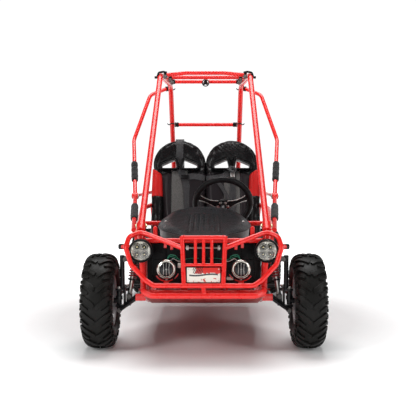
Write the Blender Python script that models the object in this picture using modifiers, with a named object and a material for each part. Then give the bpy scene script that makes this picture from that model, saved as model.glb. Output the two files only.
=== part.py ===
"""Two-seat youth buggy kart: tubular frame with roll cage, seats, steering, sprung front end and chain drive.

Units are metres. +Z is up, the nose points to -Y and the driver sits on the +X side. The origin is on the
ground at the middle of the length. Fore-and-aft places are written as stations: metres behind the front axle.
"""

import math

import bmesh
import bpy
from mathutils import Matrix, Vector

# Driving dimensions
WHEELBASE = 1.400
TYRE_RADIUS = 0.203
NOSE_OVERHANG = 0.3163
FRONT_TYRE_WIDTH = 0.135
REAR_TYRE_WIDTH = 0.165
FRONT_HALF_WIDTH = 0.510
REAR_HALF_WIDTH = 0.450
AXLE_Z = TYRE_RADIUS
FRONT_AXLE_Y = -(WHEELBASE + TYRE_RADIUS - NOSE_OVERHANG) / 2

# Tube radii
MAIN_TUBE = 0.014
FRAME_TUBE = 0.0125
LIGHT_TUBE = 0.011
GUARD_TUBE = 0.0098

# Suspension and steering
KINGPIN_X = 0.366
LOWER_INNER = (0.2775, 0.228)
LOWER_OUTER = (0.3620, 0.165)
UPPER_OUTER = (0.3320, 0.382)
UPPER_INNER = tuple(top + foot - end for top, foot, end in zip(UPPER_OUTER, LOWER_INNER, LOWER_OUTER))
SHOCK_TOP = (0.285, 0.452)
SHOCK_FOOT = (0.322, 0.222)
TIE_ROD_OUTER = (0.346, 0.118, 0.250)
TIE_ROD_INNER = (0.180, 0.118, 0.250)
WHEEL_CENTRE = (0.090, 0.600, 0.596)
COLUMN_ANGLE = math.radians(30)
STEERING_RIM_RADIUS = 0.139
STEERING_RIM_TUBE = 0.016
SHAFT_LENGTH = 0.543

# Drive line, as (station, height)
CRANK = (1.200, 0.350)
REAR_AXLE_RADIUS = 0.0125
CHAIN_X = -0.135
CLUTCH_RADIUS = 0.030
SPROCKET_RADIUS = 0.085
DISC_X = 0.130
DISC_RADIUS = 0.075
CHAIN_THICKNESS = 0.009

# Seats
SEAT_X = 0.147
SEAT_HALF_WIDTH = 0.1430
SEAT_BACK_FOOT = (0.900, 0.330)
SEAT_BACK_HEIGHT = 0.620
SEAT_BACK_LEAN = math.radians(14.5)
SEAT_BACK_THICKNESS = 0.064

SIDES = (("left", 1), ("right", -1))
Z_AXIS = Vector((0, 0, 1))


def clear_scene():
    for obj in list(bpy.data.objects):
        bpy.data.objects.remove(obj, do_unlink=True)


def new_collection(name):
    collection = bpy.data.collections.new(name)
    bpy.context.scene.collection.children.link(collection)
    return collection


def material(name, colour, roughness, metallic=0.0):
    result = bpy.data.materials.new(name)
    result.use_nodes = True
    shader = result.node_tree.nodes["Principled BSDF"]
    shader.inputs["Base Color"].default_value = (*colour, 1)
    shader.inputs["Roughness"].default_value = roughness
    shader.inputs["Metallic"].default_value = metallic
    result.diffuse_color = (*colour, 1)
    return result


clear_scene()
MODEL = new_collection("buggy_kart")
HELPERS = new_collection("cutters")
HELPERS.hide_render = True

RED = material("red_powder_coat", (0.62, 0.012, 0.010), 0.28)
DARK_RED = material("dark_red_pan", (0.25, 0.010, 0.010), 0.40)
BLACK_METAL = material("black_coated_steel", (0.020, 0.020, 0.022), 0.40)
STEEL = material("bright_steel", (0.55, 0.55, 0.56), 0.30, 1.0)
CHROME = material("chrome", (0.80, 0.80, 0.82), 0.10, 1.0)
CAST = material("cast_aluminium", (0.42, 0.42, 0.43), 0.50, 1.0)
BLACK_PLASTIC = material("black_plastic", (0.015, 0.015, 0.016), 0.35)
FOAM = material("black_foam", (0.018, 0.018, 0.018), 0.80)
TYRE = material("tyre_rubber", (0.020, 0.020, 0.020), 0.85)
VINYL = material("black_vinyl", (0.017, 0.017, 0.018), 0.35)
SPRING_RED = material("spring_red", (0.35, 0.015, 0.015), 0.35)
BADGE = material("badge_face", (0.70, 0.66, 0.62), 0.45)


# Placing and basic solids

def at(x, station, z):
    return Vector((x, station + FRONT_AXLE_Y, z))


def add_object(name, mesh, helper=False):
    obj = bpy.data.objects.new(name, mesh)
    if helper:
        HELPERS.objects.link(obj)
        obj.hide_render = True
        obj.display_type = "WIRE"
    else:
        MODEL.objects.link(obj)
    return obj


def mesh_from(name, build):
    mesh = bpy.data.meshes.new(name)
    shape = bmesh.new()
    build(shape)
    shape.to_mesh(mesh)
    shape.free()
    return mesh


def frame_on(axis):
    """A rotation whose Z is the axis and whose X points down, or along X for an upright axis."""
    z = Vector(axis).normalized()
    guide = Vector((1, 0, 0)) if abs(z.z) > 0.99 else Vector((0, 0, -1))
    x = (guide - z * guide.dot(z)).normalized()
    y = z.cross(x)
    return Matrix((x, y, z)).transposed()


def block(low, high):
    """A box between two corners given as (x, station, z)."""
    size = Vector(high) - Vector(low)
    middle = at(*((Vector(high) + Vector(low)) / 2))

    def build(shape):
        bmesh.ops.create_cube(shape, size=1, matrix=Matrix.Translation(middle) @ Matrix.Diagonal((*size, 1)))

    return add_object("block", mesh_from("block", build), helper=True)


def side_block(side, x, stations, z):
    """A box on one side of the kart, from ranges of x, station and height."""
    low_x, high_x = sorted((side * x[0], side * x[1]))
    return block((low_x, stations[0], z[0]), (high_x, stations[1], z[1]))


def rod(start, end, radius, sides=12):
    """A straight round bar between two world points."""
    start = Vector(start)
    end = Vector(end)
    length = (end - start).length
    turn = frame_on(end - start).to_4x4()

    def build(shape):
        bmesh.ops.create_cone(
            shape, cap_ends=True, segments=sides, radius1=radius, radius2=radius, depth=length,
            matrix=Matrix.Translation((start + end) / 2) @ turn,
        )

    return add_object("rod", mesh_from("rod", build), helper=True)


def cross_rod(centre, half_length, radius, sides=12):
    """A bar along the fore-and-aft direction, centred on (x, station, z)."""
    x, station, z = centre
    return rod(at(x, station - half_length, z), at(x, station + half_length, z), radius, sides)


def bend(points, radius, steps=2):
    """Rounds the corners of a path, keeping its ends."""
    points = [Vector(point) for point in points]
    path = [points[0]]
    for before, corner, after in zip(points, points[1:], points[2:]):
        into = corner - before
        out = after - corner
        turn = into.angle(out)
        cut = min(radius * math.tan(turn / 2), 0.45 * into.length, 0.45 * out.length)
        start = corner - into.normalized() * cut
        end = corner + out.normalized() * cut
        for step in range(steps + 1):
            t = step / steps
            path.append(start * (1 - t) ** 2 + corner * 2 * t * (1 - t) + end * t * t)
    path.append(points[-1])
    return path


def tube(path, radius, resolution=2):
    """A round tube along world points, as a closed mesh."""
    curve = bpy.data.curves.new("tube", "CURVE")
    curve.dimensions = "3D"
    curve.resolution_u = 1
    curve.bevel_depth = radius
    curve.bevel_resolution = resolution
    curve.use_fill_caps = True
    spline = curve.splines.new("POLY")
    spline.points.add(len(path) - 1)
    for point, place in zip(spline.points, path):
        point.co = (*place, 1)
    return mesh_of_curve(curve)


def mesh_of_curve(curve, matrix=None):
    """Turns a curve into a closed mesh helper with welded caps."""
    source = bpy.data.objects.new("curve", curve)
    HELPERS.objects.link(source)
    if matrix is not None:
        source.matrix_world = matrix
    bpy.context.view_layer.update()
    graph = bpy.context.evaluated_depsgraph_get()
    mesh = bpy.data.meshes.new_from_object(source.evaluated_get(graph))
    shape = bmesh.new()
    shape.from_mesh(mesh)
    bmesh.ops.remove_doubles(shape, verts=shape.verts, dist=0.00005)
    shape.to_mesh(mesh)
    shape.free()
    mesh.materials.clear()
    result = add_object("tube", mesh, helper=True)
    result.matrix_world = source.matrix_world
    bpy.data.objects.remove(source)
    return result


def both(half):
    """A path across the kart from its left half, which ends near the middle."""
    other = [Vector((-point[0], point[1], point[2])) for point in reversed(half)]
    return [Vector(point) for point in half] + other


def stations(points, side=1):
    return [at(side * x, station, z) for x, station, z in points]


# Turned shapes

def turned(name, profile, centre, axis, steps=24, ring=True, helper=False):
    """Turns a profile of (radius, height) about an axis, down its outer side. A ring comes back up."""
    mesh = bpy.data.meshes.new(name)
    edges = [(i, i + 1) for i in range(len(profile) - 1)]
    if ring:
        edges.append((len(profile) - 1, 0))
    mesh.from_pydata([(radius, 0, height) for radius, height in profile], edges, [])
    obj = add_object(name, mesh, helper)
    obj.matrix_world = Matrix.Translation(centre) @ frame_on(axis).to_4x4()
    screw = obj.modifiers.new("turn", "SCREW")
    screw.axis = "Z"
    screw.angle = math.tau
    screw.steps = steps
    screw.render_steps = steps
    screw.use_merge_vertices = True
    screw.merge_threshold = 0.0001
    screw.use_smooth_shade = True
    return obj


# Finishing and joining

def finish(obj, surface):
    obj.data.materials.clear()
    obj.data.materials.append(surface)
    if obj.data.polygons:
        obj.data.shade_smooth()
        obj.data.set_sharp_from_angle(angle=math.radians(35))
    return obj


def to_model(obj, name):
    HELPERS.objects.unlink(obj)
    MODEL.objects.link(obj)
    obj.name = name
    obj.hide_render = False
    obj.display_type = "TEXTURED"
    return obj


def boolean(obj, kind, operands):
    group = bpy.data.collections.new(obj.name + "_" + kind.lower())
    HELPERS.children.link(group)
    for operand in operands:
        HELPERS.objects.unlink(operand)
        group.objects.link(operand)
    modifier = obj.modifiers.new(kind.lower(), "BOOLEAN")
    modifier.operation = kind
    modifier.operand_type = "COLLECTION"
    modifier.collection = group
    modifier.solver = "EXACT"


def weld(name, pieces, surface, cuts=(), place=None):
    """Joins overlapping pieces into one solid, then cuts it. The first piece becomes the named object."""
    base, *others = pieces
    if place is not None:
        for piece in (*pieces, *cuts):
            piece.matrix_world = place @ piece.matrix_world
    to_model(base, name)
    finish(base, surface)
    if others:
        boolean(base, "UNION", others)
    if cuts:
        boolean(base, "DIFFERENCE", cuts)
    return base


def pivot(name, place, *children):
    """An empty on a joint's axis that carries the pieces moving about it."""
    empty = bpy.data.objects.new(name, None)
    empty.empty_display_size = 0.03
    empty.location = place
    MODEL.objects.link(empty)
    bpy.context.view_layer.update()
    for child in children:
        child.parent = empty
        child.matrix_parent_inverse = empty.matrix_world.inverted()
    return empty


# Frame

def build_main_frame():
    rail = [
        (0.235, -0.200, 0.266), (0.260, 0.250, 0.165), (0.260, 1.000, 0.165),
        (0.190, 1.170, 0.270), (0.190, 1.530, 0.270),
    ]
    pieces = [tube(bend(both(stations(rail)), 0.06), MAIN_TUBE)]
    pieces.append(tube(stations([(-0.251, -0.200, 0.268), (0.251, -0.200, 0.268)]), 0.013))
    pieces.append(tube(stations([(-0.2545, -0.160, 0.476), (0.2545, -0.160, 0.476)]), 0.010))
    pieces.append(tube(stations([(-0.312, 0.330, 0.5125), (0.312, 0.330, 0.5125)]), LIGHT_TUBE))
    pieces.append(tube(stations([(-0.304, 1.050, 0.5685), (0.304, 1.050, 0.5685)]), LIGHT_TUBE))
    pieces.append(tube(stations([(-0.244, -0.020, 0.226), (0.244, -0.020, 0.226)]), 0.010))
    pieces.append(tube(stations([(-0.251, 0.118, 0.200), (0.251, 0.118, 0.200)]), 0.012))
    for station in (1.190, 1.300):
        pieces.append(tube(stations([(-0.189, station, 0.270), (0.189, station, 0.270)]), 0.012))
    for station in (0.600, 0.850):
        half = [(0.2575, station, 0.168), (0.205, station, 0.225)]
        pieces.append(tube(bend(both(stations(half)), 0.04), 0.012))
    for _, side in SIDES:
        pieces += frame_side(side)
    pieces += steering_seats()
    pieces.append(block((-0.110, 1.130, 0.2795), (0.150, 1.320, 0.2860)))
    axle_bore = rod(at(-0.25, WHEELBASE, AXLE_Z), at(0.25, WHEELBASE, AXLE_Z), 0.0140, 16)
    shaft_bore = rod(column_point(0.20), column_point(0.45), 0.0130, 16)
    return weld("main_frame", pieces, RED, [axle_bore, shaft_bore])


def frame_side(side):
    """Upright tubes, upper rail and brackets on one side of the frame."""
    upper_rail = [
        (0.2565, -0.157, 0.490), (0.266, 0.050, 0.490), (0.310, 0.300, 0.509),
        (0.334, 0.750, 0.560), (0.305, 1.050, 0.569), (0.190, 1.409, 0.514),
    ]
    straight = (
        ((0.240, -0.197, 0.270), (0.2568, -0.157, 0.502), 0.013),
        ((0.190, 1.5195, 0.273), (0.190, 1.4080, 0.5325), 0.013),
        ((0.2418, -0.078, 0.2386), (0.2604, -0.078, 0.4900), 0.009),
        ((0.2504, 0.078, 0.2036), (0.2700, 0.078, 0.4915), 0.009),
        ((0.260, 0.300, 0.166), (0.310, 0.300, 0.510), LIGHT_TUBE),
        ((0.260, 0.970, 0.166), (0.306, 1.045, 0.568), LIGHT_TUBE),
        ((0.252, -0.164, 0.448), (0.345, -0.125, 0.448), 0.009),
    )
    pieces = [tube(bend(stations(upper_rail, side), 0.08), FRAME_TUBE)]
    for start, end, radius in straight:
        pieces.append(tube(stations((start, end), side), radius, 2 if radius > 0.009 else 1))
    pieces.append(side_block(side, (0.236, 0.280), (-0.178, -0.126), (0.4990, 0.5055)))
    pieces.append(side_block(side, (0.168, 0.212), (1.380, 1.432), (0.5330, 0.5395)))
    pieces.append(side_block(side, (0.183, 0.197), (1.372, 1.428), (0.168, 0.263)))
    pieces.append(side_block(side, (0.262, 0.2855), (-0.065, -0.035), (0.492, 0.512)))
    for end in (-1, 1):
        tab = sorted((end * 0.0665, end * 0.0727))
        ear = sorted((end * 0.0145, end * 0.0185))
        pieces.append(side_block(side, (0.245, 0.289), tab, (0.2135, 0.2430)))
        pieces.append(side_block(side, (0.236, 0.268), tab, (0.4300, 0.4600)))
        pieces.append(side_block(side, (0.2615, 0.297), ear, (0.438, 0.492)))
    return pieces


def steering_seats():
    """Rack guides on the cross tube, the pinion housing and the column bracket."""
    pieces = []
    for x in (-0.090, 0.090):
        pieces.append(block((x - 0.015, 0.100, 0.203), (x + 0.015, 0.136, 0.2417)))
        for front in (0.100, 0.1270):
            pieces.append(block((x - 0.015, front, 0.235), (x + 0.015, front + 0.009, 0.2620)))
    pieces.append(block((0.073, 0.098, 0.2590), (0.107, 0.138, 0.3050)))
    pieces.append(block((0.074, 0.322, 0.415), (0.106, 0.338, 0.508)))
    return pieces


def column_point(distance):
    """A point on the steering column, a distance down from the wheel's centre."""
    x, station, z = WHEEL_CENTRE
    return at(x, station - distance * math.cos(COLUMN_ANGLE), z - distance * math.sin(COLUMN_ANGLE))


def build_floor_pan():
    rows = ((-0.270, 0.262, 0.230), (0.250, 0.1495, 0.246), (1.000, 0.1495, 0.246))
    half_columns = 2

    def build(shape):
        grid = []
        for station, z, half in rows:
            places = [half * i / half_columns for i in range(-half_columns, half_columns + 1)]
            grid.append([shape.verts.new(at(x, station, z)) for x in places])
        for front, back in zip(grid, grid[1:]):
            for i in range(2 * half_columns):
                shape.faces.new((front[i], front[i + 1], back[i + 1], back[i]))

    pan = add_object("floor_pan", mesh_from("floor_pan", build))
    shell = pan.modifiers.new("sheet", "SOLIDIFY")
    shell.thickness = 0.003
    shell.offset = -1
    finish(pan, DARK_RED)
    pan.data.shade_flat()
    return pan


def build_nose_guard():
    hoop = [
        (0.0828, -0.277, 0.458), (0.200, -0.226, 0.498), (0.254, -0.202, 0.515), (0.297, -0.225, 0.498),
        (0.308, -0.252, 0.457), (0.286, -0.270, 0.392), (0.2275, -0.287, 0.333), (0.195, -0.299, 0.3125),
    ]
    bumper = [(0.243, -0.2095, 0.300), (0.236, -0.285, 0.288), (0.205, -0.305, 0.2745)]
    pieces = [tube(bend(both(stations(hoop)), 0.035), GUARD_TUBE)]
    pieces.append(tube(bend(both(stations(bumper)), 0.03), 0.012))
    pieces.append(tube(stations([(0, -0.300, 0.312), (0, -0.305, 0.275)]), 0.009))
    pieces.append(tube(stations([(-0.087, -0.2705, 0.498), (0.087, -0.2705, 0.498)]), 0.009))
    pieces.append(tube(stations([(-0.080, -0.2873, 0.3925), (0.080, -0.2873, 0.3925)]), 0.006))
    for x in (-0.032, 0, 0.032):
        pieces.append(tube(stations([(x, -0.2705, 0.498), (x, -0.2873, 0.3925)]), 0.0062))
    for _, side in SIDES:
        pieces.append(tube(stations([(0.085, -0.2695, 0.503), (0.0765, -0.300, 0.3125)], side), 0.009))
        pieces.append(side_block(side, (0.138, 0.158), (-0.300, -0.212), (0.3155, 0.3205)))
        pieces.append(side_block(side, (0.244, 0.264), (-0.202, -0.1790), (0.5060, 0.5130)))
    return weld("nose_guard", pieces, RED)


def build_badge_plate():
    plate = block((-0.065, -0.2965, 0.3255), (0.065, -0.2925, 0.3830))
    edge = plate.modifiers.new("edge", "BEVEL")
    edge.width = 0.001
    edge.segments = 1
    return weld("badge_plate", [plate], BADGE)


def build_hood():
    """The moulded cowl from rows of (station, half width, crown, edge drop), and the panel behind the lamps."""
    rows = (
        (-0.205, 0.082, 0.4990, 0.006), (-0.150, 0.096, 0.5130, 0.014), (-0.080, 0.130, 0.5250, 0.024),
        (0.000, 0.172, 0.5360, 0.032), (0.080, 0.196, 0.5450, 0.036), (0.160, 0.205, 0.5540, 0.036),
        (0.240, 0.194, 0.5680, 0.034), (0.310, 0.170, 0.5810, 0.030), (0.350, 0.152, 0.5880, 0.026),
    )
    columns = 8

    def build(shape):
        grid = []
        for station, half, crown, drop in rows:
            line = []
            for i in range(columns + 1):
                u = 2 * i / columns - 1
                line.append(shape.verts.new(at(half * u, station, crown - drop * abs(u) ** 2.6)))
            grid.append(line)
        for front, back in zip(grid, grid[1:]):
            for i in range(columns):
                shape.faces.new((front[i], front[i + 1], back[i + 1], back[i]))

    hood = add_object("hood", mesh_from("hood", build))
    shell = hood.modifiers.new("moulding", "SOLIDIFY")
    shell.thickness = 0.0035
    shell.offset = -1
    wide = block((-0.232, -0.147, 0.300), (0.232, -0.143, 0.485))
    neck = block((-0.070, -0.1465, 0.480), (0.070, -0.1435, 0.5118))
    boolean(hood, "UNION", [wide, neck])
    return finish(hood, BLACK_PLASTIC)


# Roll cage

def build_cage(label, side):
    path = [
        (0.258, -0.150, 0.5130), (0.230, 0.660, 1.250), (0.200, 1.080, 1.250), (0.190, 1.4035, 0.5430),
    ]
    pieces = [tube(bend(stations(path, side), 0.11, 4), MAIN_TUBE)]
    pieces.append(side_block(side, (0.236, 0.280), (-0.178, -0.126), (0.5060, 0.5125)))
    pieces.append(side_block(side, (0.168, 0.212), (1.380, 1.432), (0.5400, 0.5465)))
    start = at(side * 0.258, -0.150, 0.513)
    along = (at(side * 0.230, 0.660, 1.250) - start).normalized()
    pieces.append(rod(start, start + along * 0.045, 0.0185, 12))
    below_front = side_block(side, (0.200, 0.320), (-0.230, -0.080), (0.440, 0.5062))
    below_back = side_block(side, (0.140, 0.240), (1.350, 1.470), (0.480, 0.5402))
    return weld("cage_" + label, pieces, RED, [below_front, below_back])


def build_roof():
    half_arch = [(0.2130, 0.652, 1.2490), (0.100, 0.652, 1.2600)]
    pieces = [tube(bend(both(stations(half_arch)), 0.25), 0.010)]
    pieces.append(tube(stations([(-0.2080, 0.750, 1.250), (0.2080, 0.750, 1.250)]), 0.010))
    for _, side in SIDES:
        pieces.append(side_block(side, (0.190, 0.198), (0.650, 0.752), (1.2440, 1.2520)))
    weld("roof_front_bar", pieces, RED)
    rear = tube(stations([(-0.1945, 0.940, 1.250), (0.1945, 0.940, 1.250)]), 0.010)
    weld("roof_rear_bar", [rear], RED)
    cross = tube(stations([(-0.1815, 1.1805, 1.030), (0.1815, 1.1805, 1.030)]), 0.0105)
    weld("rear_cross_bar", [cross], RED)


def build_side_bar(label, side):
    """The bowed door bar with its brace back to the cage, and two foam grips on it."""
    knee = (0.387, 0.850, 0.926)
    joint = (0.341, 0.450, 0.637)
    front = (0.297, -0.050, 0.510)
    bar = [(0.230, 1.088, 1.226), (0.310, 1.000, 1.183), knee, joint, front]
    brace = [(0.341, 0.452, 0.637), (0.340, 1.020, 0.632), (0.222, 1.335, 0.650)]
    pieces = [tube(bend(stations(bar, side), 0.07), 0.0105)]
    pieces.append(tube(bend(stations(brace, side), 0.07), 0.0095))
    pieces.append(rod(at(side * 0.3265, 0.450, 0.637), at(side * 0.3555, 0.450, 0.637), 0.015, 12))
    weld("side_bar_" + label, pieces, RED)
    knee, joint, front = stations((knee, joint, front), side)
    sleeve("side_grip_upper_" + label, knee, joint, 0.43, 0.75)
    sleeve("side_grip_lower_" + label, joint, front, 0.31, 0.72)


def sleeve(name, start, end, first, last):
    """A foam sleeve over part of a straight bar, between two fractions of its length."""
    along = end - start
    half = (last - first) * along.length / 2
    profile = [(0.0145, half), (0.0165, half - 0.003), (0.0165, 0.003 - half), (0.0145, -half)]
    profile += [(0.0115, -half), (0.0115, half)]
    grip = turned(name, profile, start + along * (first + last) / 2, along, 10)
    return finish(grip, FOAM)


# Lamps

def build_lamps(label, side):
    forward = (0, -1, 0)
    bowl = [(0, 0.056), (0.036, 0.055), (0.048, 0.049), (0.048, 0.034), (0.041, 0.020), (0.028, 0), (0, 0)]
    lamp = turned("headlight_" + label, bowl, at(side * 0.251, -0.1868, 0.442), forward, 20, ring=False)
    finish(lamp, BLACK_PLASTIC)
    can = [(0, 0.060), (0.034, 0.060), (0.0385, 0.055), (0.0385, 0.045), (0.034, 0.038), (0.030, 0), (0, 0)]
    place = at(side * 0.148, -0.195, 0.370)
    fog = turned("fog", can, place, forward, 16, ring=False, helper=True)
    stud = rod(at(side * 0.148, -0.228, 0.3210), at(side * 0.148, -0.228, 0.350), 0.005, 8)
    weld("fog_lamp_" + label, [stud, fog], CHROME)


# Wheels and tyres

def tyre_profile(width):
    """Half the section runs from bead to crown outside, and the air side is open at the beads."""
    half = width / 2
    outside = [
        (0.1005, 0.72 * half), (0.1105, 0.735 * half), (0.132, 0.95 * half), (0.168, half),
        (0.194, 0.80 * half), (TYRE_RADIUS, 0.35 * half),
    ]
    inside = [(0.1005, 0.52 * half), (0.181, 0.78 * half)]
    lower = [(radius, -height) for radius, height in reversed(outside)]
    inner_lower = [(radius, -height) for radius, height in inside]
    return outside + lower + inner_lower + inside[::-1]


def rim_profile(half, hub_in, hub_out, bore):
    """A pressed rim with its disc near the middle, its flanges clear of the tyre's beads."""
    return [
        (0.108, half), (0.108, half - 0.003), (0.0990, half - 0.0035),
        (0.0990, 0.0035 - half), (0.108, 0.003 - half), (0.108, -half), (0.092, -half),
        (0.090, 0.008), (0.028, 0.004), (0.026, hub_in), (bore, hub_in), (bore, hub_out), (0.026, hub_out),
        (0.028, 0.014), (0.090, 0.018), (0.092, half),
    ]


def build_wheel(end, label, side):
    front = end == "front"
    width = FRONT_TYRE_WIDTH if front else REAR_TYRE_WIDTH
    reach = FRONT_HALF_WIDTH if front else REAR_HALF_WIDTH
    station = 0 if front else WHEELBASE
    centre = at(side * (reach - width / 2), station, AXLE_Z)
    outward = (side, 0, 0)
    rim_half = 0.72 * width / 2 + 0.0045
    hub_in = -0.050 if front else -0.060
    hub_out = 0.044 if front else 0.055
    bore = 0.0122 if front else 0.0134
    name = "_" + end + "_" + label
    tyre = finish(turned("tyre" + name, tyre_profile(width), centre, outward, 20), TYRE)
    rim = turned("rim" + name, rim_profile(rim_half, hub_in, hub_out, bore), centre, outward, 16)
    finish(rim, CAST)
    return tyre, rim


# Front suspension

def suspension(label, side):
    def place(x, station, z):
        return at(side * x, station, z)

    lower = build_lower_arm(label, side, place)
    upper = build_upper_arm(label, side, place)
    carrier = build_carrier(label, side, place)
    knuckle = build_knuckle(label, place)
    body, shaft, spring = build_shock(label, side, place)
    tie = build_tie_rod(label, place)
    tyre, rim = build_wheel("front", label, side)
    arm_pivot = pivot("pivot_lower_arm_" + label, place(LOWER_INNER[0], 0, LOWER_INNER[1]), lower)
    pivot("pivot_upper_arm_" + label, place(UPPER_INNER[0], 0, UPPER_INNER[1]), upper)
    pivot("pivot_shock_" + label, place(SHOCK_TOP[0], 0, SHOCK_TOP[1]), body, shaft, spring)
    carrier_pivot = pivot("pivot_carrier_" + label, place(LOWER_OUTER[0], 0, LOWER_OUTER[1]), carrier)
    kingpin = pivot("pivot_kingpin_" + label, place(KINGPIN_X, 0, AXLE_Z), knuckle, tyre, rim)
    tie_pivot = pivot("pivot_tie_rod_" + label, place(*TIE_ROD_OUTER), tie)
    for child, parent in ((tie_pivot, kingpin), (kingpin, carrier_pivot), (carrier_pivot, arm_pivot)):
        child.parent = parent
        child.matrix_parent_inverse = parent.matrix_world.inverted()
        bpy.context.view_layer.update()


def build_lower_arm(label, side, place):
    """A forked A-arm whose two outer eyes hold the carrier's foot between them."""
    inner_x, inner_z = LOWER_INNER
    outer_x, outer_z = LOWER_OUTER
    pieces = [cross_rod((side * inner_x, 0, inner_z), 0.0655, 0.010)]
    for end in (-1, 1):
        leg = [place(inner_x, end * 0.056, inner_z), place(outer_x, end * 0.026, outer_z)]
        pieces.append(tube(leg, 0.0080))
        pieces.append(cross_rod((side * outer_x, end * 0.0255, outer_z), 0.0085, 0.0095))
        ear = sorted((end * 0.0147, end * 0.0187))
        pieces.append(side_block(side, (0.311, 0.333), ear, (0.192, 0.233)))
    pieces.append(side_block(side, (0.312, 0.332), (-0.041, 0.041), (0.187, 0.200)))
    return weld("lower_arm_" + label, pieces, BLACK_METAL)


def build_upper_arm(label, side, place):
    inner_x, inner_z = UPPER_INNER
    outer_x, outer_z = UPPER_OUTER
    pieces = [cross_rod((side * inner_x, 0, inner_z), 0.0655, 0.009)]
    pieces.append(cross_rod((side * outer_x, 0, outer_z), 0.0115, 0.0085))
    for end in (-1, 1):
        leg = [place(inner_x, end * 0.057, inner_z), place(outer_x, end * 0.002, outer_z)]
        pieces.append(tube(leg, 0.0065))
    return weld("upper_arm_" + label, pieces, BLACK_METAL)


def build_carrier(label, side, place):
    """The tall upright between the arms, with two ears that hold the knuckle."""
    outer_x, outer_z = LOWER_OUTER
    pieces = [tube([place(0.352, 0, 0.398), place(0.3515, 0, 0.252)], 0.0105)]
    pieces.append(side_block(side, (0.338, 0.346), (-0.015, 0.015), (0.178, 0.262)))
    pieces.append(side_block(side, (0.339, 0.381), (-0.0145, 0.0145), (0.2462, 0.2550)))
    pieces.append(side_block(side, (0.339, 0.381), (-0.0145, 0.0145), (0.1765, 0.1840)))
    pieces.append(side_block(side, (0.353, 0.371), (-0.0150, 0.0150), (0.1655, 0.1790)))
    pieces.append(cross_rod((side * outer_x, 0, outer_z), 0.0155, 0.0095))
    for end in (-1, 1):
        lug = sorted((end * 0.0070, end * 0.0170))
        pieces.append(side_block(side, (0.3425, 0.356), lug, (0.3720, 0.3930)))
        lug = sorted((end * 0.0127, end * 0.0170))
        pieces.append(side_block(side, (0.3285, 0.350), lug, (0.3725, 0.3925)))
    return weld("kingpin_carrier_" + label, pieces, BLACK_METAL)


def build_knuckle(label, place):
    pieces = [rod(place(KINGPIN_X, 0, 0.1862), place(KINGPIN_X, 0, 0.2440), 0.0115)]
    pieces.append(rod(place(KINGPIN_X, 0, AXLE_Z), place(0.4960, 0, AXLE_Z), 0.0112))
    pieces.append(rod(place(0.4880, 0, AXLE_Z), place(0.4975, 0, AXLE_Z), 0.0170, 6))
    x, station, z = TIE_ROD_OUTER
    pieces.append(tube([place(KINGPIN_X, 0, 0.229), place(x, station, z - 0.0165)], 0.006))
    pieces.append(rod(place(x, station, z - 0.021), place(x, station, z - 0.0098), 0.009))
    return weld("knuckle_" + label, pieces, BLACK_METAL)


def build_tie_rod(label, place):
    x, station, z = TIE_ROD_OUTER
    inner = TIE_ROD_INNER
    pieces = [rod(place(x - 0.002, station, z), place(*inner), 0.0055, 10)]
    pieces.append(rod(place(x, station, z - 0.0088), place(x, station, z + 0.0080), 0.0090))
    pieces.append(rod(place(inner[0], station, z - 0.0080), place(inner[0], station, z + 0.0080), 0.0085))
    return weld("tie_rod_" + label, pieces, STEEL)


def build_shock(label, side, place):
    """A damper with its body at the foot, its rod at the top and a coil spring between two seats."""
    top = place(SHOCK_TOP[0], 0, SHOCK_TOP[1])
    foot = place(SHOCK_FOOT[0], 0, SHOCK_FOOT[1])
    up = (top - foot).normalized()
    body = [cross_rod((side * SHOCK_FOOT[0], 0, SHOCK_FOOT[1]), 0.0138, 0.0095)]
    body.append(rod(foot, foot + up * 0.130, 0.0100))
    body.append(rod(foot + up * 0.036, foot + up * 0.043, 0.0175, 16))
    bore = rod(foot + up * 0.060, foot + up * 0.140, 0.0070)
    body = weld("shock_body_" + label, body, BLACK_METAL, [bore])
    shaft = [cross_rod((side * SHOCK_TOP[0], 0, SHOCK_TOP[1]), 0.0138, 0.0095)]
    shaft.append(rod(top, foot + up * 0.080, 0.0055))
    shaft.append(rod(foot + up * 0.150, foot + up * 0.157, 0.0175, 16))
    shaft = weld("shock_rod_" + label, shaft, STEEL)
    first, last, turns, steps = 0.0475, 0.1460, 5, 7
    turn = frame_on(up)
    path = []
    for i in range(turns * steps + 1):
        angle = math.tau * i / steps
        ring = turn @ Vector((math.cos(angle), math.sin(angle), 0)) * 0.0145
        path.append(foot + ring + up * (first + (last - first) * i / (turns * steps)))
    spring = weld("shock_spring_" + label, [tube(path, 0.0030)], SPRING_RED)
    return body, shaft, spring


# Steering and pedals

def column_frame():
    """Local Z up the column towards the driver, local -Y to the top of the wheel."""
    tilt = Matrix.Rotation(COLUMN_ANGLE - math.pi / 2, 4, "X")
    return Matrix.Translation(at(*WHEEL_CENTRE)) @ tilt


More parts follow.
